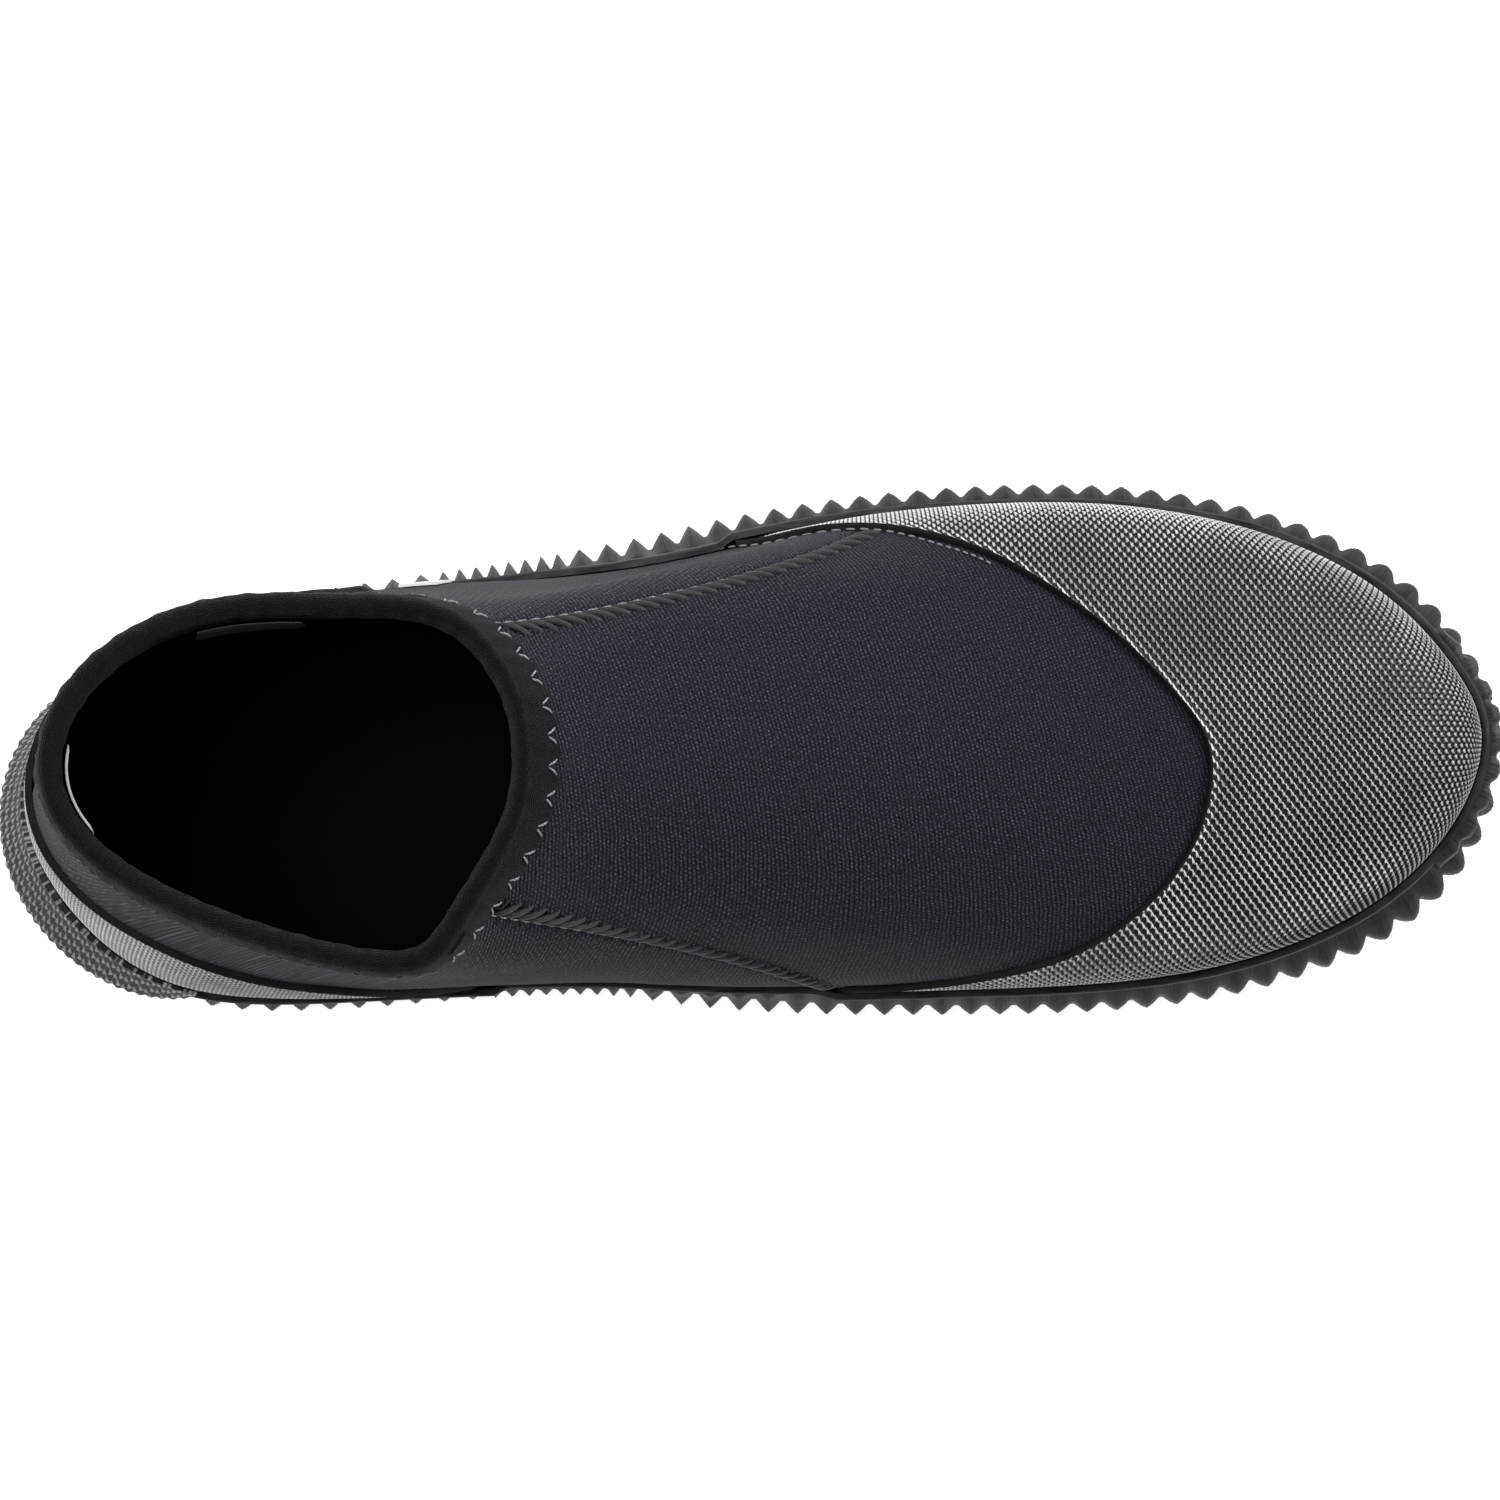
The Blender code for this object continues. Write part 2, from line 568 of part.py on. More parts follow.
def ribbon(name, station, s, width, inner, outer, material, columns=4):
    """A strip of even width along the meridian at station."""
    offsets = np.linspace(-width / 2, width / 2, columns)
    a = np.stack([station + across(station, s, offset) for offset in offsets], 0)
    rows = np.broadcast_to(s, a.shape)
    depth = np.broadcast_to(np.asarray(outer, float).reshape(-1, 1), a.shape)
    bm = bmesh.new()
    grids = []
    for points in (place(a, rows, np.full(a.shape, inner)), place(a, rows, depth)):
        grids.append([[bm.verts.new(point) for point in column] for column in points])
    ring_faces(bm, *grids, closed=False)
    return finish(name, bm, material)


def seam_rows(station, start, end):
    """The panels' rows at a seam between two values of s, so that a strip there follows them."""
    rows = panel_rows(np.array([float(station)]))[0]
    between = rows[(rows > start + 0.005) & (rows < end - 0.005)]
    return np.concatenate([[start], between, [end]])


def seams(thread_material, tape_material):
    """The sewn ridges outside, and the glued tapes that cover the seams inside."""
    sides = (("lateral", SEAM, OUTER_SEAM_START), ("medial", 360 - SEAM, INNER_SEAM_START))
    crown = GAP + ROPE_HEIGHT * np.array(SEAM_CROWN)
    for side, station, start in sides:
        end = below_rim(station, BINDING_LEG + 2 * GAP)[0]
        s = seam_rows(station, start, end)
        ribbon(f"{side}_seam_stitch", station, s, ROPE_WIDTH, GAP, crown, thread_material)
    for side, station in (("lateral", SEAM), ("medial", 360 - SEAM), ("heel", 180)):
        end = below_rim(station, BINDING_LEG + TAPE_CLEAR)[0]
        s = seam_rows(station, at_height(station, INSOLE_Z + INSOLE + TAPE_RISE)[0], end)
        under = -NEOPRENE - GAP
        ribbon(f"{side}_seam_tape", station, s, TAPE_WIDTH, under - TAPE, under, tape_material)


def collar_binding(material):
    """The stretch binding folded over the collar's rim."""
    a = COLUMNS
    leg = below_rim(a, BINDING_LEG)
    half_leg = below_rim(a, BINDING_LEG / 2)
    top = np.ones(len(a))
    out, into = GAP, -NEOPRENE - GAP
    bm = bmesh.new()
    outside, inside = [], []
    for face, grid in ((BINDING, outside), (0.0, inside)):
        legs = ((leg, out + face), (half_leg, out + face), (top, out + face))
        points = [place(a, s, np.full(len(a), depth)) for s, depth in legs]
        shoulder = np.array([0, 0, GAP + face])
        rim_out = place(a, top, np.full(len(a), out + face / 2)) + shoulder
        rim_in = place(a, top, np.full(len(a), into - face / 2)) + shoulder
        points += [rim_out, rim_in]
        legs = ((top, into - face), (half_leg, into - face), (leg, into - face))
        points += [place(a, s, np.full(len(a), depth)) for s, depth in legs]
        for column in np.stack(points, 1):
            grid.append([bm.verts.new(point) for point in column])
    ring_faces(bm, inside, outside, closed=True)
    return finish("collar_binding", bm, material)


def collar_stitch(material):
    """One thread that runs zigzag round the binding's outer leg."""
    turns = 2 * STITCH_COUNT
    fine = np.arange(0, 360.01, 1.0)
    length = np.append(0, np.cumsum(np.linalg.norm(np.diff(rim(fine), axis=0), axis=1)))
    a = np.interp(np.linspace(0, length[-1], turns, endpoint=False), length, fine)
    side = np.where(np.arange(turns) % 2, 0.5, -0.5) * STITCH_HEIGHT
    s = below_rim(a, STITCH_DROP * BINDING_LEG + side)
    route = place(a, s, np.full(turns, 2 * GAP + BINDING + STITCH_RADIUS))
    bm = bmesh.new()
    loops = []
    for i in range(turns):
        ahead = route[(i + 1) % turns] - route[i - 1]
        ahead /= np.linalg.norm(ahead)
        up = np.cross(ahead, place(a[i], s[i], 1.0) - place(a[i], s[i], 0.0))
        up /= np.linalg.norm(up)
        off = np.cross(up, ahead)
        corners = (up, off, -up, -off)
        loops.append([bm.verts.new(route[i] + STITCH_RADIUS * corner) for corner in corners])
    for i in range(turns):
        first, second = loops[i], loops[(i + 1) % turns]
        for k in range(4):
            m = (k + 1) % 4
            bm.faces.new((first[k], first[m], second[m], second[k]))
    return finish("collar_stitch", bm, material)


def patch(name, stations, rows, inner, outer, material, columns=6):
    """A small rectangular piece laid on the surface. rows is a function of the stations."""
    a = np.linspace(*stations, columns)
    low, high = rows(a)
    s = np.stack([low + (high - low) * k / 3 for k in range(4)], -1)
    return wall(name, a, s, inner, outer, material)


def between_drops(low, high):
    """The rows of a patch that lies between two distances below the rim."""
    return lambda a: (below_rim(a, low), below_rim(a, high))


def labels(white, grey, binding_material):
    """The two blank labels inside the collar, the blank badge outside and the binding's join."""
    over_leg = -NEOPRENE - BINDING - 3 * GAP
    inside = (
        ("size_label", SIZE_LABEL, SIZE_LABEL_HEIGHT, white),
        ("woven_label", WOVEN_LABEL, WOVEN_LABEL_HEIGHT, grey),
    )
    for name, stations, height, material in inside:
        rows = between_drops(LABEL_DROP + height, LABEL_DROP)
        patch(name, stations, rows, over_leg - LABEL, over_leg, material)
    low, high = SIDE_BADGE_HEIGHTS
    patch("side_badge", SIDE_BADGE, lambda a: (at_height(a, low), at_height(a, high)),
          GAP, GAP + LABEL, white)
    on_leg = BINDING + 2 * GAP
    rows = between_drops(*BINDING_JOIN_DROPS[::-1])
    patch("binding_join", BINDING_JOIN, rows, on_leg, on_leg + BINDING, binding_material)


def centre_boot(pieces):
    """Moves the boot so that its box is centred on the origin and stands on Z = 0."""
    corners = np.array([corner for piece in pieces for corner in (v.co for v in piece.data.vertices)])
    low, high = corners.min(0), corners.max(0)
    boot.location = (-(low[0] + high[0]) / 2, -(low[1] + high[1]) / 2, -low[2])


for old in list(bpy.data.objects):
    bpy.data.objects.remove(old)
boot = bpy.data.objects.new("boot", None)
bpy.context.scene.collection.objects.link(boot)

rubber = coat("sole_rubber", (0.020, 0.020, 0.021), 0.55)
cap_rubber = coat("embossed_rubber", (0.075, 0.075, 0.078), 0.45)
foxing_rubber = coat("foxing_rubber", (0.035, 0.035, 0.037), 0.5)
jersey = coat("jersey_faced_neoprene", (0.042, 0.041, 0.052), 0.9)
stretch = coat("stretch_binding", (0.022, 0.021, 0.026), 0.85)
thread = coat("black_thread", (0.015, 0.015, 0.016), 0.6)
pale_thread = coat("pale_thread", (0.35, 0.35, 0.37), 0.6)
tape = coat("seam_tape", (0.02, 0.02, 0.022), 0.8)
foam = coat("foam", (0.03, 0.03, 0.033), 0.9)
white_label = coat("white_label", (0.75, 0.75, 0.75), 0.7)
grey_label = coat("grey_label", (0.3, 0.3, 0.31), 0.8)

outsole(rubber)
plate("midsole", 0.0, SOLE_PLATE + GAP, MIDSOLE, foam)
plate("strobel_sock", NEOPRENE + GAP, STROBEL_Z, STROBEL, jersey)
plate("insole", NEOPRENE + 2 * GAP, INSOLE_Z, INSOLE, foam)
foxing_band(foxing_rubber)
toe_bumper(foxing_rubber)
toe_cap(cap_rubber)
heel_cap(cap_rubber)
strap_stop(cap_rubber)
panels(jersey)
seams(thread, tape)
collar_binding(stretch)
collar_stitch(pale_thread)
labels(white_label, grey_label, stretch)
centre_boot([piece for piece in bpy.data.objects if piece.type == "MESH" and not piece.hide_render])
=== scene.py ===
"""The looks of a low-cut slip-on neoprene water boot for the left foot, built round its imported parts.

The boot points along +X, its outer side is +Y and it stands on Z = 0. Its upper pieces lie on one
surface, the outer face of the neoprene, where a point is (a, s): a is the station round the boot in
degrees, 0 at the toe, 90 on the outer side and 180 at the heel, and s runs from 0 at the feather
line, where the upper meets the sole, to 1 at the collar's rim. Depth is the way out from there.
"""

import math

import bmesh
import bpy
import numpy as np
from mathutils import Matrix, Vector
from mathutils.kdtree import KDTree


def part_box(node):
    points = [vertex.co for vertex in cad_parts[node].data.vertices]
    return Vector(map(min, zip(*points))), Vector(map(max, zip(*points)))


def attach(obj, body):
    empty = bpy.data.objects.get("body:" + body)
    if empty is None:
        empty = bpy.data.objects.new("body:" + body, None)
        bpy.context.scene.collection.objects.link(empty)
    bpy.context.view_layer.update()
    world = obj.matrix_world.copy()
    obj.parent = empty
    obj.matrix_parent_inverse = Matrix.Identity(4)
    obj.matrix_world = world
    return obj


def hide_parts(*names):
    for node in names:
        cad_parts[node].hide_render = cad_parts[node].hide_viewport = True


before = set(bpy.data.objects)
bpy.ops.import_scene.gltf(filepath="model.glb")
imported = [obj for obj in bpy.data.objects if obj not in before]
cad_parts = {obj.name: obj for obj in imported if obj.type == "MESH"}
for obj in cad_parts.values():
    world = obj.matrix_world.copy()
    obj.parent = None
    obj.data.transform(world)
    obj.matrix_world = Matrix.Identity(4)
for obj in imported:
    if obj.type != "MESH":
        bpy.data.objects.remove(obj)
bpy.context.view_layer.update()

MM = 0.001

# Sizes of the upper's surface
COLLAR_HEIGHT = 98 * MM
COLLAR_WAVE = 4 * MM
COLLAR_LENGTH = 85.5 * MM
COLLAR_WIDTH = 67.5 * MM
COLLAR_SETBACK = 5.5 * MM
TOE_SPRING = 5 * MM
BALL = 185 * MM
FEATHER_Z = 7.3 * MM
HEEL = 180
SEAM = 48
SEAM_BOW = 8
SEAM_BOW_SPREAD = 22

# Walls and clearances
GAP = 0.3 * MM
NEOPRENE = 2.5 * MM
CAP_RUBBER = 1.0 * MM
FOXING = 1.5 * MM
BINDING = 0.6 * MM
BINDING_LEG = 8.0 * MM
LABEL = 0.5 * MM
SOLE_PLATE = 4.5 * MM
CUP_TOP = 12.0 * MM
CUP_WALL = 1.7 * MM
FOXING_TOP = 20.0 * MM

# The outsole's edge and tread
TOOTH_TOP = 3.5 * MM
LARGE_PITCH = 5.5 * MM
FINE_PITCH = 3.2 * MM
WAIST_TEETH = ((76, 89), (274, 292))
TREAD_DEPTH = 1.8 * MM
TREAD_WIDTH = 3.0 * MM
TREAD_PITCH = 8.5 * MM
TREAD_MARGIN = 5.0 * MM
TREAD_SWEEP = 0.8
BUMPER_DEPTH = 2.7 * MM
BUMPER_REACH = 11
BUMPER_RIBS = 9

# The caps' embossed net
NET_LENGTH = 1.66 * MM  # a diamond's diagonal along the boot
NET_WIDTH = 2.4 * MM  # and across it
NET_RIDGE = 0.3 * MM  # half a ridge's width
NET_DEPTH = 0.42 * MM
CAP_BORDER = 1.3 * MM  # the smooth margin along a cap's edge
CAP_EDGE_WIDTH = 1.1 * MM  # the black strip that covers a cap's edge
CAP_EDGE_CROWN = (0.35, 0.85, 1, 0.85, 0.35)  # its height across it

# Sewing
SEAM_PITCH = 3.05 * MM
COLLAR_PITCH = 5.2 * MM
SEAM_SLANT = 3.0 * MM  # how far a stitch climbs on its way into the vamp
SEAM_THREAD = 0.6 * MM  # the threads' radii
DASH_THREAD = 0.14 * MM
BEAD_THREAD = 0.2 * MM
ZIGZAG_THREAD = 0.19 * MM
DASH_LENGTH = 2.3 * MM
OUTER_SEAM_START = 0.44  # the s at which each seam's stitches begin, at the toe cap's edge
INNER_SEAM_START = 0.16
STITCH_DROP = 0.7 * BINDING_LEG  # the zigzag's points, below the rim
NOTCH_DEPTH = 1.2 * MM  # how far the zigzag pulls the binding's edge up
NOTCH_WIDTH = 1.9 * MM
ZIGZAG_FRONT = 72  # the stations each side of the toe between which the zigzag is pale

SOLE_OUTLINE = {
    0: (1.0, 0.006), 8: (0.986, 0.155), 16: (0.941, 0.325), 24: (0.867, 0.460), 32: (0.776, 0.535),
    40: (0.68, 0.558), 48: (0.586, 0.556), 70: (0.41, 0.497), 95: (0.231, 0.445), 122: (0.11, 0.385),
    150: (0.034, 0.25), 180: (0.0, 0.028), 210: (0.026, -0.20), 238: (0.095, -0.345),
    265: (0.231, -0.372), 290: (0.39, -0.382), 312: (0.535, -0.415), 320: (0.64, -0.426),
    328: (0.745, -0.43), 336: (0.838, -0.397), 344: (0.92, -0.305), 352: (0.976, -0.16),
}
COLLAR_OUTLINE = {
    0: (1.0, -0.01), 24: (0.975, 0.175), 48: (0.885, 0.345), 95: (0.6, 0.44), 118: (0.425, 0.447),
    140: (0.237, 0.395), 160: (0.077, 0.256), 180: (0.0, 0.06), 220: (0.16, -0.30),
    265: (0.65, -0.546), 312: (0.865, -0.405), 336: (0.965, -0.205),
}
# A meridian climbs from the feather line to the rim as a spline of eight control points. REACH is
# their share of the way to the rim in plan, RISE of its height, BULGE their distance outwards in mm.
REACH = {
    0: (0, 0, 0.02, 0.12, 0.38, 0.73, 0.96, 1), 48: (0, 0, 0.03, 0.14, 0.38, 0.70, 0.94, 1),
    95: (0, 0, 0.10, 0.25, 0.50, 0.75, 0.92, 1), 180: (0, 0.05, 0.15, 0.30, 0.50, 0.75, 0.92, 1),
    265: (0, 0, 0.10, 0.25, 0.50, 0.75, 0.92, 1), 312: (0, 0, 0.03, 0.14, 0.38, 0.70, 0.94, 1),
}
RISE = {
    0: (0, 0.13, 0.28, 0.36, 0.47, 0.69, 0.885, 1), 48: (0, 0.12, 0.26, 0.40, 0.54, 0.73, 0.88, 1),
    95: (0, 0.14, 0.28, 0.43, 0.58, 0.74, 0.88, 1), 180: (0, 0.12, 0.27, 0.43, 0.58, 0.76, 0.91, 1),
    265: (0, 0.14, 0.28, 0.43, 0.58, 0.74, 0.88, 1), 312: (0, 0.12, 0.26, 0.40, 0.54, 0.73, 0.88, 1),
}
BULGE = {
    0: (0, 1, 1.5, 0, 0, 0, 0, 0), 20: (0, 0.4, 0.6, -0.6, -0.3, 0, 0, 0),
    48: (0, 0.3, -0.2, -1.2, -0.8, 0, 0, 0), 66: (0, 0, -4, -5, -3.5, -1, 0, 0),
    80: (0, 0.4, -0.4, -1, -0.6, 0, 0, 0), 95: (0, 1, 1.5, 1, 0.5, 0, 0, 0),
    135: (0, 1.5, 3, 3, 2, 1, 0, 0), 180: (0, 2, 4, 5, 3.5, 2, 0.5, 0),
    225: (0, 2.2, 3.6, 3.6, 2.5, 1, 0, 0), 265: (0, 1.2, 3, 3.4, 2.6, 1, 0, 0),
    290: (0, 1.8, 3.6, 3.2, 2, 0.5, 0, 0), 312: (0, 2.5, 4, 3, 1, 0, 0, 0),
}
KNOTS = (0, 0, 0, 0, 0.2, 0.4, 0.6, 0.8, 1, 1, 1, 1)
FLANGE = {
    0: 4.7, 10: 6.4, 24: 6.5, 40: 6.5, 56: 5.2, 70: 4.2, 95: 4, 135: 4, 180: 3, 225: 2.5, 265: 2.2,
    288: 2.2, 305: 3.4, 320: 5.4, 338: 6.2, 350: 6.6,
}
TOOTH = {
    0: 2.5, 24: 2, 48: 2.4, 62: 3, 95: 2.6, 135: 2.5, 180: 2, 225: 2, 265: 1.8, 286: 1.5, 300: 2.5,
    325: 1.8, 340: 2.3,
}
# Station: how blunt the teeth are, from 0, pointed, to 1, broad and flat
TOOTH_BLUNT = {
    0: 0.9, 30: 0.6, 60: 0.25, 95: 0.25, 135: 0.5, 180: 0.5, 225: 0.5, 262: 0.1, 300: 0.0, 335: 0.4,
}
TOE_CAP_EDGE = {
    0: 0.533, 12: 0.553, 24: 0.556, 36: 0.525, 46: 0.45, 54: 0.28, 62: 0.0, 90: -0.3, 180: -0.5,
    270: -0.3, 306: -0.05, 314: 0.12, 321: 0.27, 330: 0.40, 344: 0.495,
}
HEEL_CAP_EDGE = {
    0: -0.6, 60: -0.4, 94: 0.0, 104: 0.36, 116: 0.51, 132: 0.55, 155: 0.52, 180: 0.54, 205: 0.59,
    230: 0.62, 250: 0.57, 264: 0.43, 276: 0.0, 300: -0.4,
}
TOE_CAP_END = 60
TOE_CAP_INNER_END = 48
HEEL_CAP_END = 96
HEEL_CAP_INNER_END = 84
STOP_DEPTH = 7.4 * MM
STOP_STATIONS = (145, 237)
STOP_SWELL = 0.6
STOP_RIB_PITCH = 1.93 * MM
STOP_RIB_DEPTH = 0.35 * MM
STOP_NET_WIDTH = 3.4 * MM  # the length of its net's diamonds down the ledge


def loop_spline(stations, values):
    """The smooth closed curve through values at stations, in degrees, as a function."""
    knots = np.asarray(stations, float)
    points = np.asarray(values, float)
    count = len(knots)
    spans = np.append(np.diff(knots), 360 - (knots[-1] - knots[0]))
    matrix = np.zeros((count, count))
    right = np.zeros(points.shape)
    for i in range(count):
        after = (i + 1) % count
        matrix[i, i - 1] += spans[i - 1]
        matrix[i, i] += 2 * (spans[i - 1] + spans[i])
        matrix[i, after] += spans[i]
        slope_after = (points[after] - points[i]) / spans[i]
        slope_before = (points[i] - points[i - 1]) / spans[i - 1]
        right[i] = 6 * (slope_after - slope_before)
    bends = np.linalg.solve(matrix, right)

    def curve(station):
        at = (np.asarray(station, float) - knots[0]) % 360 + knots[0]
        i = np.clip(np.searchsorted(knots, at, side="right") - 1, 0, count - 1)
        j = (i + 1) % count
        span = spans[i][..., None]
        after = (at - knots[i])[..., None]
        before = span - after
        cubic = (bends[i] * before**3 + bends[j] * after**3) / (6 * span)
        start = (points[i] / span - bends[i] * span / 6) * before
        return cubic + start + (points[j] / span - bends[j] * span / 6) * after

    return curve


def table_spline(table):
    """The same for a table of station: value or values."""
    values = [value if isinstance(value, tuple) else (value,) for value in table.values()]
    return loop_spline(list(table), values)


sole_outline = table_spline(SOLE_OUTLINE)
collar_outline = table_spline(COLLAR_OUTLINE)
reach_at = table_spline(REACH)
rise_at = table_spline(RISE)
bulge_at = table_spline(BULGE)
flange_at = table_spline(FLANGE)
tooth_at = table_spline(TOOTH)
blunt_at = table_spline(TOOTH_BLUNT)
toe_edge_at = table_spline(TOE_CAP_EDGE)
heel_edge_at = table_spline(HEEL_CAP_EDGE)

midsole_low, midsole_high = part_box("midsole")
outline_shares = sole_outline(np.arange(0, 360, 0.5))[:, 1]
SOLE_LENGTH = midsole_high.x - midsole_low.x
SOLE_WIDTH = (midsole_high.y - midsole_low.y) / np.ptp(outline_shares)
ORIGIN = np.array([midsole_low.x, midsole_low.y - outline_shares.min() * SOLE_WIDTH, 0.0])


def weights(s):
    """The eight weights of a cubic B-spline's control points at s."""
    s = np.clip(s, 0, 1 - 1e-12)
    now = [((KNOTS[i] <= s) & (s < KNOTS[i + 1])).astype(float) for i in range(len(KNOTS) - 1)]
    for degree in (1, 2, 3):
        before = now
        now = []
        for i in range(len(before) - 1):
            weight = np.zeros(s.shape)
            if KNOTS[i + degree] > KNOTS[i]:
                weight += (s - KNOTS[i]) / (KNOTS[i + degree] - KNOTS[i]) * before[i]
            if KNOTS[i + degree + 1] > KNOTS[i + 1]:
                span = KNOTS[i + degree + 1] - KNOTS[i + 1]
                weight += (KNOTS[i + degree + 1] - s) / span * before[i + 1]
            now.append(weight)
    return np.stack(now, -1)


def feather(a):
    """The feather line in plan."""
    return sole_outline(a) * (SOLE_LENGTH, SOLE_WIDTH)


def rim(a):
    """The collar's rim in plan."""
    return collar_outline(a) * (COLLAR_LENGTH, COLLAR_WIDTH) + (COLLAR_SETBACK, 0)


def outward(a):
    """The feather line's outward direction in plan."""
    along = feather(a + 0.5) - feather(a - 0.5)
    out = np.stack([along[..., 1], -along[..., 0]], -1)
    return out / np.linalg.norm(out, axis=-1, keepdims=True)


def on_surface(a, s):
    """The point (a, s) of the surface."""
    a, s = np.broadcast_arrays(np.asarray(a, float), np.asarray(s, float))
    from_seam = (a + 180) % 360 - 180 - SEAM
    a = a - SEAM_BOW * np.sin(np.pi * s**2) * np.exp(-((from_seam / SEAM_BOW_SPREAD) ** 2))
    spread = weights(s)
    reach = (reach_at(a) * spread).sum(-1)[..., None]
    rise = (rise_at(a) * spread).sum(-1)[..., None]
    bulge = (bulge_at(a) * spread).sum(-1)[..., None] * MM
    low = feather(a)
    plan = low + reach * (rim(a) - low) + bulge * outward(a)
    top = COLLAR_HEIGHT + COLLAR_WAVE * np.cos(np.radians(2 * a))[..., None]
    return np.concatenate([plan, FEATHER_Z + rise * (top - FEATHER_Z)], -1)


def normal_at(a, s):
    """The outward direction of the surface at (a, s)."""
    low, high = np.clip(s - 1e-3, 0, 1), np.clip(s + 1e-3, 0, 1)
    round_boot = on_surface(a + 0.1, s) - on_surface(a - 0.1, s)
    normal = np.cross(round_boot, on_surface(a, high) - on_surface(a, low))
    return normal / np.linalg.norm(normal, axis=-1, keepdims=True)


def place(a, s, depth=0.0):
    """The point (a, s) moved outwards by depth."""
    a, s = np.broadcast_arrays(np.asarray(a, float), np.asarray(s, float))
    return on_surface(a, s) + normal_at(a, s) * np.asarray(depth, float)[..., None]


def at_height(a, height):
    """The s at which the surface is this high, low on the boot, for each station."""
    s = np.linspace(0, 0.6, 121)
    a, height = np.broadcast_arrays(np.atleast_1d(a), height)
    heights = on_surface(a[:, None], s)[..., 2]
    return np.array([np.interp(up, line, s) for up, line in zip(height, heights)])


def below_rim(a, distance):
    """The s this far down the surface from the rim, for each station."""
    s = np.linspace(1, 0.3, 141)
    a, distance = np.broadcast_arrays(np.atleast_1d(a), distance)
    steps = np.linalg.norm(np.diff(on_surface(a[:, None], s), axis=1), axis=2)
    lengths = np.cumsum(steps, axis=1)
    return np.array([np.interp(d, np.append(0, line), s) for d, line in zip(distance, lengths)])


def settle(points):
    """Points of the boot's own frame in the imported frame, with the toe's lift."""
    lifted = points + ORIGIN
    ahead = np.clip((points[..., 0] - BALL) / (SOLE_LENGTH - BALL), 0, None)
    lifted[..., 2] += TOE_SPRING * ahead**2
    return lifted


def lengths_along(line):
    """The distance along a line of points from its first one to each."""
    return np.append(0, np.cumsum(np.linalg.norm(np.diff(line, axis=0), axis=1)))


def eased(t):
    """A smooth step from 0 to 1 as t goes from 0 to 1."""
    t = np.clip(t, 0, 1)
    return t * t * (3 - 2 * t)


def ripples(points, size, seed):
    """A soft unevenness between -1 and 1, with waves about this long."""
    draw = np.random.default_rng(seed)
    total = np.zeros(points.shape[:-1])
    for _ in range(7):
        wave = draw.normal(size=3) * 2 * np.pi / size * 0.6
        total += np.sin(points @ wave + draw.uniform(0, 2 * np.pi))
    return total / 4


# ---------------------------------------------------------------- meshes


def laid_flat(points):
    """Distances along the columns and the rows of a grid of points, in mm, as a pattern's U and V."""
    along = np.linalg.norm(np.diff(points, axis=0), axis=2).mean(1)
    up = np.linalg.norm(np.diff(points, axis=1), axis=2)
    u = np.append(0, np.cumsum(along))[:, None] + np.zeros(points.shape[1])
    v = np.concatenate([np.zeros((len(points), 1)), np.cumsum(up, axis=1)], 1)
    return np.stack([u, v], -1) / MM


def add_piece(name, bm, points, pattern, materials):
    """Makes an object from a bmesh whose vertices go to points, with pattern as their UV, in mm."""
    mesh = bpy.data.meshes.new(name)
    bm.to_mesh(mesh)
    bm.free()
    mesh.vertices.foreach_set("co", settle(points).astype(np.float32).ravel())
    corners = np.empty(len(mesh.loops), np.int32)
    mesh.loops.foreach_get("vertex_index", corners)
    layer = mesh.uv_layers.new(name="pattern")
    layer.uv.foreach_set("vector", pattern[corners].astype(np.float32).ravel())
    sewn = bmesh.new()
    sewn.from_mesh(mesh)
    bmesh.ops.remove_doubles(sewn, verts=sewn.verts, dist=1e-6)
    bmesh.ops.dissolve_degenerate(sewn, edges=sewn.edges, dist=1e-7)
    bmesh.ops.recalc_face_normals(sewn, faces=sewn.faces)
    sewn.to_mesh(mesh)
    sewn.free()
    mesh.shade_smooth()
    mesh.set_sharp_from_angle(angle=math.radians(50))
    piece = bpy.data.objects.new(name, mesh)
    for material in materials:
        mesh.materials.append(material)
    bpy.context.scene.collection.objects.link(piece)
    return piece


def grid_places(bm, columns, rows):
    """Each vertex's column, row and layer in a grid made by slab or ring."""
    flat = np.array([vertex.co for vertex in bm.verts])
    column = np.rint((flat[:, 0] + 0.5) * (columns - 1)).astype(int)
    row = np.rint((flat[:, 1] + 0.5) * (rows - 1)).astype(int)
    return column, row, np.rint(flat[:, 2]).astype(int)


def slab(name, inner, outer, materials, closed=False, pattern=None):
    """A layer between two grids of points. A second material goes on its inner face.

    closed joins its first and last column.
    """
    columns, rows = outer.shape[:2]
    bm = bmesh.new()
    bmesh.ops.create_grid(bm, x_segments=columns - 1, y_segments=rows - 1, size=0.5)
    for face in bm.faces:
        face.material_index = len(materials) - 1
    grown = bmesh.ops.extrude_face_region(bm, geom=bm.faces[:])["geom"]
    upper = [item for item in grown if isinstance(item, bmesh.types.BMVert)]
    bmesh.ops.translate(bm, vec=(0, 0, 1), verts=upper)
    for face in bm.faces:
        if max(vertex.co.z for vertex in face.verts) > 0.5:
            face.material_index = 0
    if closed:
        ends = [face for face in bm.faces if np.ptp([vertex.co.x for vertex in face.verts]) < 1e-6]
        bmesh.ops.delete(bm, geom=ends, context="FACES")
    column, row, layer = grid_places(bm, columns, rows)
    pattern = laid_flat(outer) if pattern is None else pattern
    points = np.stack([inner, outer])[layer, column, row]
    return add_piece(name, bm, points, pattern[column, row], materials)


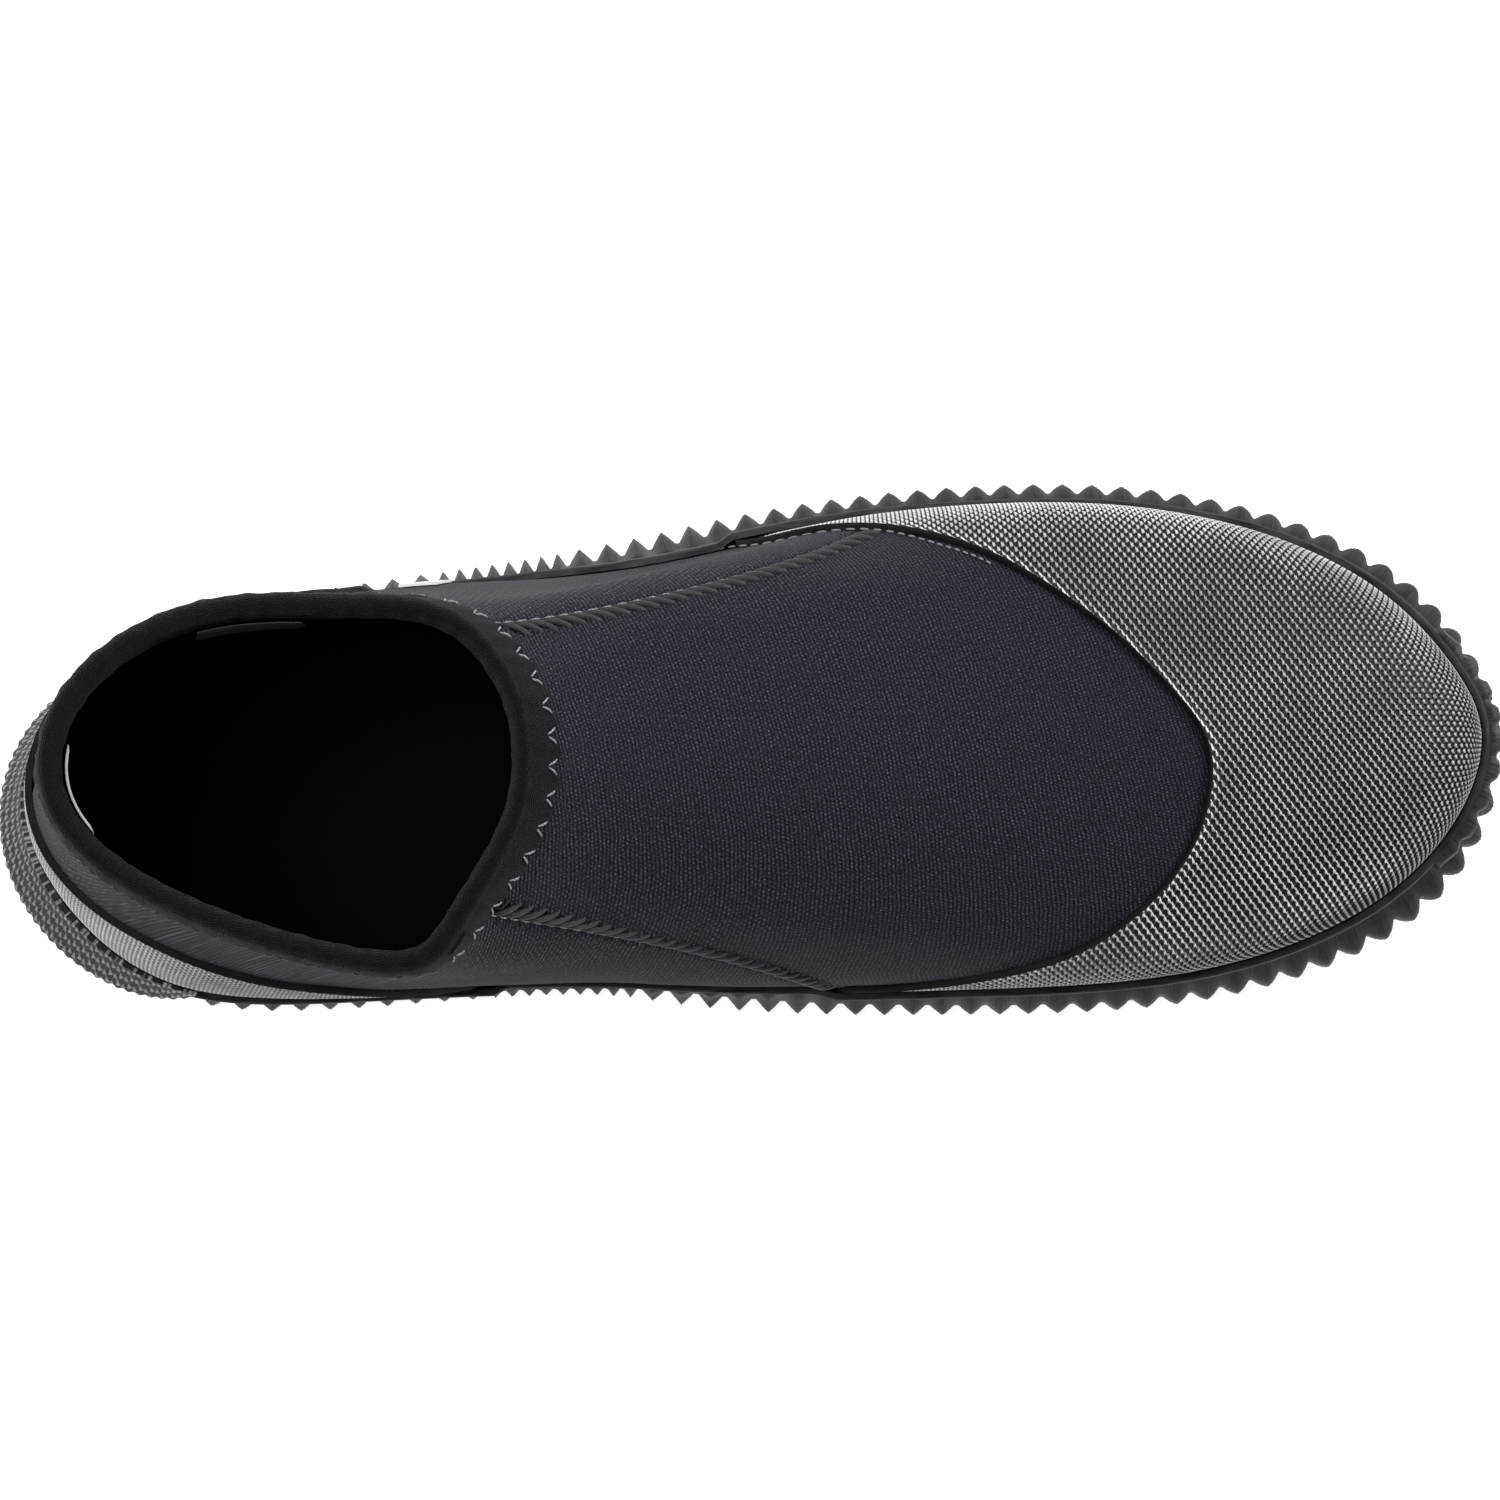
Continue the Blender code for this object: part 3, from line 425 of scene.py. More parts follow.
def ring(name, points, material, pattern):
    """A closed loop of closed sections, as a grid whose last column and row repeat the first."""
    columns, rows = points.shape[:2]
    bm = bmesh.new()
    bmesh.ops.create_grid(bm, x_segments=columns - 1, y_segments=rows - 1, size=0.5)
    column, row, _ = grid_places(bm, columns, rows)
    return add_piece(name, bm, points[column, row], pattern[column, row], [material])


def threads(name, runs, radius, material):
    """Sewing thread as one curve object: each run is a list of points, thin at its ends."""
    curve = bpy.data.curves.new(name, "CURVE")
    curve.dimensions = "3D"
    curve.bevel_depth = radius
    curve.bevel_resolution = 2
    curve.use_fill_caps = True
    for run in runs:
        line = settle(np.asarray(run))
        spline = curve.splines.new("POLY")
        spline.points.add(len(line) - 1)
        for point, place_at, share in zip(spline.points, line, np.linspace(-1, 1, len(line))):
            point.co = (*place_at, 1)
            point.radius = 0.55 + 0.45 * math.sqrt(max(0.0, 1 - share**4))
    curve.materials.append(material)
    piece = bpy.data.objects.new(name, curve)
    bpy.context.scene.collection.objects.link(piece)
    return piece


def fit(piece, slot, *nodes):
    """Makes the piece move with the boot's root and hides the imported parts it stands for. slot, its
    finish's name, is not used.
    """
    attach(piece, "root")
    if nodes:
        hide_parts(*nodes)
    return piece


# ---------------------------------------------------------------- materials


class Finish:
    """A procedural material. Its node methods return the node's first output."""

    def __init__(self, name, colour, roughness, **sockets):
        self.material = bpy.data.materials.new(name)
        self.material.use_nodes = True
        self.nodes = self.material.node_tree.nodes
        self.links = self.material.node_tree.links
        self.shader = self.nodes["Principled BSDF"]
        self.colour = colour
        self.set("Base Color", (*colour, 1))
        self.set("Roughness", roughness)
        for socket, value in sockets.items():
            self.set(socket.replace("_", " "), value)

    def feed(self, socket, value):
        if isinstance(value, bpy.types.NodeSocket):
            self.links.new(value, socket)
        else:
            socket.default_value = value

    def set(self, socket, value):
        self.feed(self.shader.inputs[socket], value)

    def math(self, operation, first, second=0.0):
        node = self.nodes.new("ShaderNodeMath")
        node.operation = operation
        self.feed(node.inputs[0], first)
        self.feed(node.inputs[1], second)
        return node.outputs[0]

    def pattern(self):
        """The piece's own U and V, in mm."""
        uv = self.nodes.new("ShaderNodeUVMap")
        uv.uv_map = "pattern"
        split = self.nodes.new("ShaderNodeSeparateXYZ")
        self.links.new(uv.outputs[0], split.inputs[0])
        return split.outputs[0], split.outputs[1]

    def vector(self, x, y, z=0.0):
        node = self.nodes.new("ShaderNodeCombineXYZ")
        for socket, value in zip(node.inputs, (x, y, z)):
            self.feed(socket, value)
        return node.outputs[0]

    def place_mm(self):
        """The place on the object, in mm."""
        where = self.nodes.new("ShaderNodeTexCoord").outputs["Object"]
        node = self.nodes.new("ShaderNodeVectorMath")
        node.operation = "SCALE"
        self.feed(node.inputs[0], where)
        node.inputs["Scale"].default_value = 1 / MM
        return node.outputs[0]

    def noise(self, where, size, detail=2.0, roughness=0.5):
        """Noise of about this size, in mm."""
        node = self.nodes.new("ShaderNodeTexNoise")
        self.feed(node.inputs["Vector"], where)
        self.feed(node.inputs["Scale"], 1 / size)
        self.feed(node.inputs["Detail"], detail)
        self.feed(node.inputs["Roughness"], roughness)
        return node.outputs[0]

    def ramp(self, value, low, high, start=0.0, end=1.0):
        """Value taken from low..high to start..end, and held there."""
        node = self.nodes.new("ShaderNodeMapRange")
        node.clamp = True
        for socket, number in zip(node.inputs, (value, low, high, start, end)):
            self.feed(socket, number)
        return node.outputs[0]

    def wave(self, value, pitch):
        """A wave from 0 to 1 with this pitch."""
        turn = self.math("MULTIPLY", value, 2 * math.pi / pitch)
        return self.ramp(self.math("SINE", turn), -1, 1)

    def mix(self, share, dark, light):
        """A colour between two by share."""
        node = self.nodes.new("ShaderNodeMix")
        node.data_type = "RGBA"
        self.feed(node.inputs[0], share)
        self.feed(node.inputs[6], (*dark, 1))
        self.feed(node.inputs[7], (*light, 1))
        return node.outputs[2]

    def bump(self, height, distance):
        """Adds relief of this depth, in mm, to the surface."""
        node = self.nodes.new("ShaderNodeBump")
        self.feed(node.inputs["Strength"], 1.0)
        self.feed(node.inputs["Distance"], distance * MM)
        self.feed(node.inputs["Height"], height)
        self.set("Normal", node.outputs[0])


def jersey_finish(name, colour, light, pitch, along, turn=0.0):
    """A knitted face: rows of small loops, with brighter specks where the yarn catches the light."""
    finish = Finish(name, colour, 0.8, Sheen_Weight=0.05, Sheen_Roughness=0.4)
    finish.set("Specular IOR Level", 0.06)
    u, v = finish.pattern()
    if along:
        u, v = v, u
    slope = math.tan(math.radians(turn))
    across = finish.math("ADD", u, finish.math("MULTIPLY", v, slope))
    wobble = finish.math("MULTIPLY", finish.noise(finish.vector(u, v), 6.0), 1.4)
    across = finish.math("ADD", across, wobble)
    wale = finish.wave(across, pitch)
    column = finish.math("FLOOR", finish.math("DIVIDE", across, pitch))
    shift = finish.math("MULTIPLY", finish.math("MODULO", column, 2.0), 0.35)
    loop = finish.wave(finish.math("ADD", v, shift), pitch * 0.8)
    knit = finish.math("MULTIPLY", wale, finish.ramp(loop, 0, 1, 0.25, 1.0))
    fuzz = finish.noise(finish.vector(u, v), 0.45, 3.0, 0.8)
    speck = finish.ramp(fuzz, 0.48, 0.68)
    bright = finish.math("MULTIPLY", finish.math("ADD", knit, 0.12), finish.ramp(speck, 0, 1, 0.12, 1.0))
    finish.set("Base Color", finish.mix(bright, colour, light))
    finish.bump(finish.math("ADD", knit, finish.math("MULTIPLY", fuzz, 0.8)), 0.22)
    return finish.material


def rubber_finish(name, colour, light, roughness, streak, streak_share):
    """Moulded rubber with fine streaks along V, or along U where streak is negative."""
    finish = Finish(name, colour, roughness, Specular_IOR_Level=0.14)
    u, v = finish.pattern()
    if streak < 0:
        u, v = v, u
    pitch = abs(streak)
    drawn_out = finish.vector(finish.math("DIVIDE", u, pitch), finish.math("DIVIDE", v, pitch * 14))
    lines = finish.noise(drawn_out, 1.0, 2.0)
    grain = finish.noise(finish.place_mm(), 0.35, 2.0)
    broad = finish.noise(finish.place_mm(), 9.0, 3.0)
    tone = finish.math("ADD", finish.math("MULTIPLY", lines, 0.7), finish.math("MULTIPLY", broad, 0.5))
    finish.set("Base Color", finish.mix(finish.ramp(tone, 0.45, 0.85), colour, light))
    finish.set("Roughness", finish.ramp(broad, 0.3, 0.7, roughness - 0.08, roughness + 0.1))
    streaks = finish.math("MULTIPLY", lines, streak_share)
    finish.bump(finish.math("ADD", streaks, finish.math("MULTIPLY", grain, 0.25)), 0.22)
    return finish.material


def net_finish(name, dull, highlight_colour, ridge_highlight_share):
    """Embossed rubber. U and V count the net's cells, so its ridges lie on their whole numbers.

    Each crossing has a painted highlight in its colour: a drop whose point trails off to the outer side.
    The ridges get a fainter share of the same painted highlight.
    """
    finish = Finish(name, dull, 0.36, Specular_IOR_Level=0.25)
    off_ridge = []
    for number in finish.pattern():
        turn = finish.math("FRACT", finish.math("ADD", number, 0.5))
        off_ridge.append(finish.math("SUBTRACT", turn, 0.5))
    ends = finish.math("MULTIPLY", finish.math("ADD", *off_ridge), 0.5)
    sides = finish.math("MULTIPLY", finish.math("SUBTRACT", *off_ridge), 0.5)
    sides = finish.math("ABSOLUTE", finish.math("ADD", sides, finish.math("MULTIPLY", ends, 0.4)))
    width = finish.math("SUBTRACT", 0.19, finish.math("MULTIPLY", ends, 0.3))
    # drop: the painted highlight at each crossing, which also raises the bump
    drop = finish.ramp(finish.math("SUBTRACT", width, sides), 0.0, 0.05)
    drop = finish.math("MULTIPLY", drop, finish.ramp(ends, -0.26, -0.18))
    beside = [finish.math("ABSOLUTE", value) for value in off_ridge]
    ridge = finish.ramp(finish.math("MINIMUM", *beside), 0.14, 0.02)
    broad = finish.noise(finish.place_mm(), 14.0, 2.0)
    # tone: how much painted highlight, from the drops and the ridges, goes into the colour
    tone = finish.math("MAXIMUM", drop, finish.math("MULTIPLY", ridge, ridge_highlight_share))
    tone = finish.math("MULTIPLY", tone, finish.ramp(broad, 0.3, 0.7, 0.7, 1.0))
    finish.set("Base Color", finish.mix(tone, dull, highlight_colour))
    finish.set("Roughness", finish.ramp(tone, 0.0, 1.0, 0.6, 0.3))
    finish.bump(finish.math("ADD", ridge, drop), 0.3)
    return finish.material


def cloth_finish(name, colour, light):
    """Plain soft stuff for linings, foam and tape."""
    finish = Finish(name, colour, 0.9, Specular_IOR_Level=0.05)
    fuzz = finish.noise(finish.place_mm(), 0.5, 3.0, 0.7)
    finish.set("Base Color", finish.mix(finish.ramp(fuzz, 0.4, 0.7), colour, light))
    finish.bump(fuzz, 0.15)
    return finish.material


def thread_finish(name, colour, light, roughness):
    """Twisted thread: fine slanted plies."""
    finish = Finish(name, colour, roughness)
    where = finish.place_mm()
    split = finish.nodes.new("ShaderNodeSeparateXYZ")
    finish.links.new(where, split.inputs[0])
    slant = finish.math("ADD", finish.math("ADD", split.outputs[0], split.outputs[1]), split.outputs[2])
    ply = finish.wave(slant, 0.4)
    fuzz = finish.noise(where, 0.3, 2.0)
    share = finish.math("MULTIPLY", ply, finish.ramp(fuzz, 0.3, 0.7, 0.4, 1.0))
    finish.set("Base Color", finish.mix(share, colour, light))
    finish.bump(ply, 0.08)
    return finish.material


def label_finish(name, colour, light):
    """A woven label: warp and weft in a plain weave."""
    finish = Finish(name, colour, 0.7)
    u, v = finish.pattern()
    weave = finish.math("MULTIPLY", finish.wave(u, 0.4), finish.wave(v, 0.4))
    finish.set("Base Color", finish.mix(weave, colour, light))
    finish.bump(weave, 0.06)
    return finish.material


# ---------------------------------------------------------------- pieces


quarter_stations = np.arange(0, 360.01, 0.25)
feather_lengths = lengths_along(feather(quarter_stations))


def even_length(a):
    """Distance along the feather line from the toe to each station."""
    return np.interp(a, quarter_stations, feather_lengths)


def tooth_phase(a):
    """How far along its tooth each station is: 0 in the valley, 0.5 at the tip."""
    marks = [0]
    for start, end in WAIST_TEETH:
        marks += [start, end]
    marks.append(360)
    lengths, phases = [0.0], [0.0]
    for i in range(len(marks) - 1):
        start, end = even_length(marks[i : i + 2])
        pitch = FINE_PITCH if i % 2 else LARGE_PITCH
        lengths.append(end)
        phases.append(phases[-1] + round((end - start) / pitch))
    return np.interp(even_length(a), lengths, phases)


def even_stations(count):
    """Stations spaced evenly along the feather line, once round, with the first repeated."""
    even = np.linspace(0, feather_lengths[-1], count + 1)
    return np.interp(even, feather_lengths, quarter_stations)


def tooth_shape(a):
    """How far out of its valley each station is, from 0 to 1."""
    off_tip = np.abs(2 * (tooth_phase(a) % 1) - 1)
    blunt = blunt_at(a)[..., 0]
    pointed = np.clip(1 - off_tip / 0.82, 0, 1) ** 0.95
    round_top = np.clip(1 - (off_tip / 0.92) ** 2.4, 0, 1)
    return pointed + (round_top - pointed) * blunt


def cup_sole(rubber):
    """The outsole: its raised wall and toothed edge as one ring, with the tread inside."""
    a = even_stations(2200)
    out = outward(a)
    low = feather(a)
    high = on_surface(a, at_height(a, CUP_TOP))[:, :2]
    flare = ((high - low) * out).sum(-1)
    flange = flange_at(a)[:, 0] * MM
    tooth = tooth_at(a)[:, 0] * MM * tooth_shape(a)
    groove = 0.10 * MM * (np.sin(even_length(a) * 2 * np.pi / (0.62 * MM)) > 0.3) * tooth_shape(a)
    top = flare + GAP + CUP_WALL
    section = (
        (-TREAD_MARGIN + 0 * a, 0.0),
        (flange + tooth - 0.9 * MM, 0.0),
        (flange + tooth - 0.35 * MM, 0.15 * MM),
        (flange + tooth - groove, 0.7 * MM),
        (flange + tooth - groove, TOOTH_TOP - 0.6 * MM),
        (flange + 0.93 * tooth - groove, TOOTH_TOP + 0.2 * MM),
        (flange + 0.75 * tooth - 0.3 * MM - groove, 5.5 * MM),
        ((flange + top) / 2 + 0.50 * tooth - groove, 8.2 * MM),
        (top + 0.30 * tooth + 0.3 * MM, 10.2 * MM),
        (top + 0.12 * tooth, CUP_TOP - 0.5 * MM),
        (top - 0.3 * MM, CUP_TOP),
        (flare + GAP, CUP_TOP),
        (GAP + 0 * a, FEATHER_Z),
        (GAP + 0 * a, SOLE_PLATE),
        (-TREAD_MARGIN + 0 * a, SOLE_PLATE),
        (-TREAD_MARGIN + 0 * a, 0.0),
    )
    points = []
    for reach, z in section:
        plan = low + out * reach[:, None]
        points.append(np.concatenate([plan, np.full((len(a), 1), z)], -1))
    grid = np.stack(points, 1)
    u = even_length(a)[:, None] / MM + np.zeros(len(section))
    v = np.array([z for _, z in section]) / MM + np.zeros(grid.shape[:2])
    return ring("cup_sole", grid, rubber, np.stack([u, v], -1))


def half_widths(x):
    """The feather line's y on the inner and the outer side at x."""
    sides = []
    for stations in (np.arange(180, 361), np.arange(180, -1, -1)):
        line = feather(stations)
        sides.append(np.interp(x, line[:, 0], line[:, 1]))
    return sides


def across_sole(name, x, shares, margin, z_low, z_high, material):
    """A bar across the sole. x and the shares of its width are grids of columns and rows."""
    inner, outer = half_widths(x)
    inner, outer = inner + margin, outer - margin
    y = inner + (outer - inner) * shares
    faces = [np.stack([x, y, z], -1) for z in (z_low, z_high)]
    return slab(name, *faces, [material])


def tread(rubber):
    """The sole's plate and the chevron bars under it, joined into one piece."""
    x = np.linspace(TREAD_MARGIN * 0.7, SOLE_LENGTH - TREAD_MARGIN * 0.7, 60)[:, None] + np.zeros(13)
    shares = np.linspace(0, 1, 13) + np.zeros(x.shape)
    flat = np.zeros(x.shape)
    plate = across_sole("tread", x, shares, 4 * MM, flat + TREAD_DEPTH, flat + SOLE_PLATE, rubber)
    bars = [plate]
    starts = np.arange(TREAD_PITCH * 2, SOLE_LENGTH - TREAD_PITCH * 1.2, TREAD_PITCH)
    rows = np.linspace(0, 1, 25)
    for start in starts:
        width = np.array([0, 0.12, 0.88, 1.0]) * (TREAD_PITCH - TREAD_WIDTH)
        chevron = TREAD_PITCH * TREAD_SWEEP * np.abs(2 * rows - 1)
        x = start - chevron + width[:, None] + TREAD_WIDTH - TREAD_PITCH
        edge = np.array([0.35, 0, 0, 0.35])[:, None] * MM + 0 * x
        shares = rows + 0 * x
        flat = np.zeros(x.shape)
        bars.append(across_sole("bar", x, shares, 4.5 * MM, edge, flat + TREAD_DEPTH + GAP, rubber))
    return joined(bars)


def joined(pieces):
    """The pieces as one object, under the first one's name."""
    bm = bmesh.new()
    for piece in pieces:
        bm.from_mesh(piece.data)
    bm.to_mesh(pieces[0].data)
    bm.free()
    for piece in pieces[1:]:
        bpy.data.objects.remove(piece)
    return pieces[0]


def capped(a):
    """1 at the stations where a rubber cap lies under the foxing band, 0 elsewhere, with soft steps."""
    a = (np.asarray(a) + 180) % 360 - 180
    toe = eased((TOE_CAP_END - a) / 2 + 0.5) * eased((a + TOE_CAP_INNER_END) / 2 + 0.5)
    heel = eased((a - HEEL_CAP_END) / 2 + 0.5) + eased((-HEEL_CAP_INNER_END - a) / 2 + 0.5)
    return toe + heel


def wall_points(a, heights, depth):
    """Points at level heights near the sole, moved out in plan. depth has one value per row."""
    grid = []
    for height, out in zip(heights, depth):
        point = on_surface(a, at_height(a, height))
        point[:, :2] += outward(a) * np.asarray(out * np.ones(len(a)))[:, None]
        point[:, 2] = height
        grid.append(point)
    return np.stack(grid, 1)


def foxing(rubber):
    """The foxing band: a strip with a rounded lip and a shallow groove below it."""
    a = even_stations(720)
    inner = GAP + (CAP_RUBBER + GAP) * capped(a)
    height = FOXING_TOP - CUP_TOP - GAP
    profile = ((0, 0.75), (0.1, 0.95), (0.3, 1), (0.55, 1), (0.68, 0.98), (0.73, 0.80), (0.78, 0.80),
               (0.83, 0.98), (0.93, 0.92), (0.98, 0.7), (1, 0.35))
    heights = [CUP_TOP + GAP + height * up for up, _ in profile]
    outside = wall_points(a, heights, [inner + FOXING * out for _, out in profile])
    inside = wall_points(a, heights, [inner] * len(profile))
    return slab("foxing_strip", inside, outside, [rubber], closed=True)


def bumper(rubber):
    """The ribbed bumper on the toe's tip."""
    a = np.linspace(-BUMPER_REACH, BUMPER_REACH, 20 * BUMPER_RIBS + 1)
    start = GAP + CAP_RUBBER + FOXING
    turn = (a + BUMPER_REACH) / (2 * BUMPER_REACH) * BUMPER_RIBS
    rib = eased(1.5 - 3.2 * np.abs(turn % 1 - 0.5)) * eased(4 * (1 - np.abs(a) / BUMPER_REACH))
    levels = ((0, 0.35), (0.06, 0.75), (0.2, 1), (0.5, 1), (0.8, 0.96), (0.94, 0.7), (1, 0.3))
    bottom, top = CUP_TOP + 2 * GAP, FOXING_TOP - 2 * GAP
    heights = [bottom + (top - bottom) * up for up, _ in levels]
    outs = [start + BUMPER_DEPTH * out * (0.62 + 0.38 * rib) for _, out in levels]
    outside = wall_points(a, heights, outs)
    inside = wall_points(a, heights, [start] * len(levels))
    return slab("bumper_ribs", inside, outside, [rubber])


def flat_sheet(stations, rows, flat):
    """A function from points of the sheet laid flat to the (a, s) that they cover."""
    tree = KDTree(flat.shape[0] * flat.shape[1])
    for index, (u, v) in enumerate(flat.reshape(-1, 2)):
        tree.insert((u, v, 0), index)
    tree.balance()
    slopes = np.stack(np.gradient(flat, stations, rows, axis=(0, 1)), -1)

    def covers(points):
        nearest = np.array([tree.find((u, v, 0))[1] for u, v in points])
        i, j = np.unravel_index(nearest, flat.shape[:2])
        step = np.linalg.solve(slopes[i, j], (points - flat[i, j])[..., None])[..., 0]
        step = np.clip(step, -1, 1)
        return stations[i] + step[:, 0], rows[j] + step[:, 1]

    return covers


def diamond_net(low, high):
    """A flat sheet of diamonds from corner low to corner high, each with its floor set in by a ridge."""
    size = high - low
    middle = (low + high) / 2
    cells = 2 * math.ceil(max(size[0] / NET_LENGTH, size[1] / NET_WIDTH) / math.sqrt(2))
    bm = bmesh.new()
    turned = Matrix.Rotation(math.radians(45), 4, "Z")
    bmesh.ops.create_grid(bm, x_segments=cells, y_segments=cells, size=cells / 2, matrix=turned)
    shrink = (NET_LENGTH / math.sqrt(2), NET_WIDTH / math.sqrt(2), 1)
    bmesh.ops.scale(bm, vec=shrink, verts=bm.verts)
    bmesh.ops.translate(bm, vec=(*middle, 0), verts=bm.verts)
    return bm, middle


def embossed(name, stations, rows, flat, edge, low, material):
    """A cap of embossed rubber between the s of its lower edge and that of its upper edge."""
    covers = flat_sheet(stations, rows, flat)
    inside = (rows > low(stations)[:, None]) & (rows < edge(stations)[:, None])
    kept = flat[inside]
    bm, middle = diamond_net(kept.min(0), kept.max(0))
    centres = np.array([face.calc_center_median()[:2] for face in bm.faces])
    a, s = covers(centres)
    beside = np.minimum(np.abs(a - stations[0]), np.abs(a - stations[-1])) < 0.6
    spare = (below_edge(a, s, edge) < -NET_WIDTH / 2) | (s < low(a)) | beside
    bmesh.ops.delete(bm, geom=[f for f, gone in zip(bm.faces, spare) if gone], context="FACES")
    floors = bm.faces[:]
    bmesh.ops.inset_individual(bm, faces=floors, thickness=NET_RIDGE, depth=0)
    for vertex in {vertex for face in floors for vertex in face.verts}:
        vertex.co.z = -1
    grown = bmesh.ops.extrude_face_region(bm, geom=bm.faces[:])["geom"]
    upper = [item for item in grown if isinstance(item, bmesh.types.BMVert)]
    bmesh.ops.translate(bm, vec=(0, 0, 10), verts=upper)
    net = np.array([vertex.co for vertex in bm.verts])
    a, s = covers(net[:, :2])
    from_edge = below_edge(a, s, edge)
    s = np.clip(s, low(a), edge(a))
    outer = net[:, 2] > 5
    pit = (np.abs(net[:, 2] - 10 * outer) > 0.5).astype(float)
    relief = eased((from_edge - CAP_BORDER * 0.6) / (1.2 * MM))
    worn = 0.35 + 0.65 * eased((on_surface(a, s)[:, 2] - FOXING_TOP + 1 * MM) / (6 * MM))
    depth = GAP + outer * (CAP_RUBBER - pit * NET_DEPTH * relief * worn)
    cells = (net[:, :2] - middle) / (NET_LENGTH, NET_WIDTH)
    pattern = np.stack([cells[:, 0] + cells[:, 1], cells[:, 1] - cells[:, 0]], -1)
    return add_piece(name, bm, place(a, s, depth), pattern, [material])


def below_edge(a, s, edge):
    """How far down the surface from a cap's edge the points (a, s) are, negative past it."""
    top = edge(a)
    return np.linalg.norm(on_surface(a, top) - on_surface(a, s), axis=-1) * np.sign(top - s)


def toe_cap(material):
    """The toe cap, its net running straight along the boot and bending down the sides."""
    stations = np.arange(-60, 72.01, 0.5)
    rows = np.linspace(0.02, 0.64, 156)
    points = on_surface(stations[:, None], rows)
    steps = np.diff(points[:, ::-1], axis=1)
    extra = np.linalg.norm(steps, axis=2) - np.linalg.norm(steps[..., :2], axis=2)
    extra = np.concatenate([np.zeros((len(stations), 1)), np.cumsum(extra, axis=1)], 1)[:, ::-1]
    flat = points[..., :2] + outward(stations)[:, None] * extra[..., None]
    return embossed("toe_cap_net", stations, rows, flat, cap_edge(toe_edge_at), cap_foot, material)


def heel_cap(material):
    """The heel cap, its net running round the heel."""
    stations = np.arange(90, 282.01, 0.5)
    rows = np.linspace(0.02, 0.62, 151)
    points = on_surface(stations[:, None], rows)
    up = np.linalg.norm(np.diff(points, axis=1), axis=2)
    up = np.concatenate([np.zeros((len(stations), 1)), np.cumsum(up, axis=1)], 1)
    middle = on_surface(stations, 0.3)
    around = lengths_along(middle)
    flat = np.stack([around[:, None] + 0 * up, up], -1)
    return embossed("heel_cap_net", stations, rows, flat, cap_edge(heel_edge_at), cap_foot, material)


fine_stations = np.arange(-180, 361, 1.0)
foot_of_cap = at_height(fine_stations, FOXING_TOP - 2.5 * MM)


def cap_foot(a):
    """The s of a cap's lower edge, behind the foxing band."""
    return np.interp(a, fine_stations, foot_of_cap)


def cap_edge(table):
    """The s of a cap's upper edge, as a function of the station."""
    return lambda a: table(a)[..., 0]


def edge_strip(name, a, table, material):
    """A narrow crowned strip over a cap's upper edge, from the first to the last station of a."""
    s = np.maximum(table(a)[:, 0], cap_foot(a))
    pace = np.linalg.norm(on_surface(a, s + 0.01) - on_surface(a, s - 0.01), axis=-1) / 0.02
    shares = np.linspace(-0.5, 0.5, len(CAP_EDGE_CROWN))
    rows = s[:, None] + shares * CAP_EDGE_WIDTH / pace[:, None]
    low, high = 0.1 * MM, GAP + CAP_RUBBER + 0.1 * MM
    depth = low + (high - low) * np.array(CAP_EDGE_CROWN) + 0 * rows
    inner = place(a[:, None], rows, 0 * rows + low)
    outer = place(a[:, None], rows, depth)
    return slab(name, inner, outer, [material])


def strap_stop(material):
    """The ribbed ledge that keeps a fin's strap from sliding down."""
    start, end = STOP_STATIONS
    a = np.linspace(start, end, 401)
    swell = np.abs(np.sin(np.pi * (a - start) / (end - start))) ** STOP_SWELL
    base = FOXING_TOP + GAP * 2
    inner = GAP * 2 + CAP_RUBBER
    around = lengths_along(on_surface(a, 0.3))
    cells = around / STOP_RIB_PITCH
    rib = 0.5 - 0.5 * np.cos(2 * np.pi * cells)
    levels = ((0, 0.0), (0.03, 0.6), (0.08, 0.87), (0.2, 0.97), (0.3, 1.0), (0.38, 0.96), (0.45, 0.84),
              (0.56, 0.66), (0.7, 0.45), (0.84, 0.27), (1.0, 0.1))
    heights, outs = [], []
    for up, out in levels:
        fine = STOP_RIB_DEPTH * rib * min(1, 4 * out) * eased(4 * swell)
        heights.append(base + up * (6 + 13 * swell) * MM)
        outs.append(inner + 0.5 * MM + STOP_DEPTH * out * swell - fine)
    outside = np.stack([place(a, at_height(a, h), d) for h, d in zip(heights, outs)], 1)
    inside = np.stack([place(a, at_height(a, h), inner + 0 * a) for h in heights], 1)
    climb = np.linalg.norm(np.diff(outside, axis=1), axis=2)
    climb = np.concatenate([np.zeros((len(a), 1)), np.cumsum(climb, axis=1)], 1) / STOP_NET_WIDTH
    pattern = np.stack([climb + cells[:, None], climb - cells[:, None]], -1)
    return slab("strap_stop_ribs", inside, outside, [material], pattern=pattern)


def mm_per_degree(a, s):
    """The length of a degree round the boot at (a, s)."""
    return np.linalg.norm(on_surface(a + 0.5, s) - on_surface(a - 0.5, s), axis=-1)


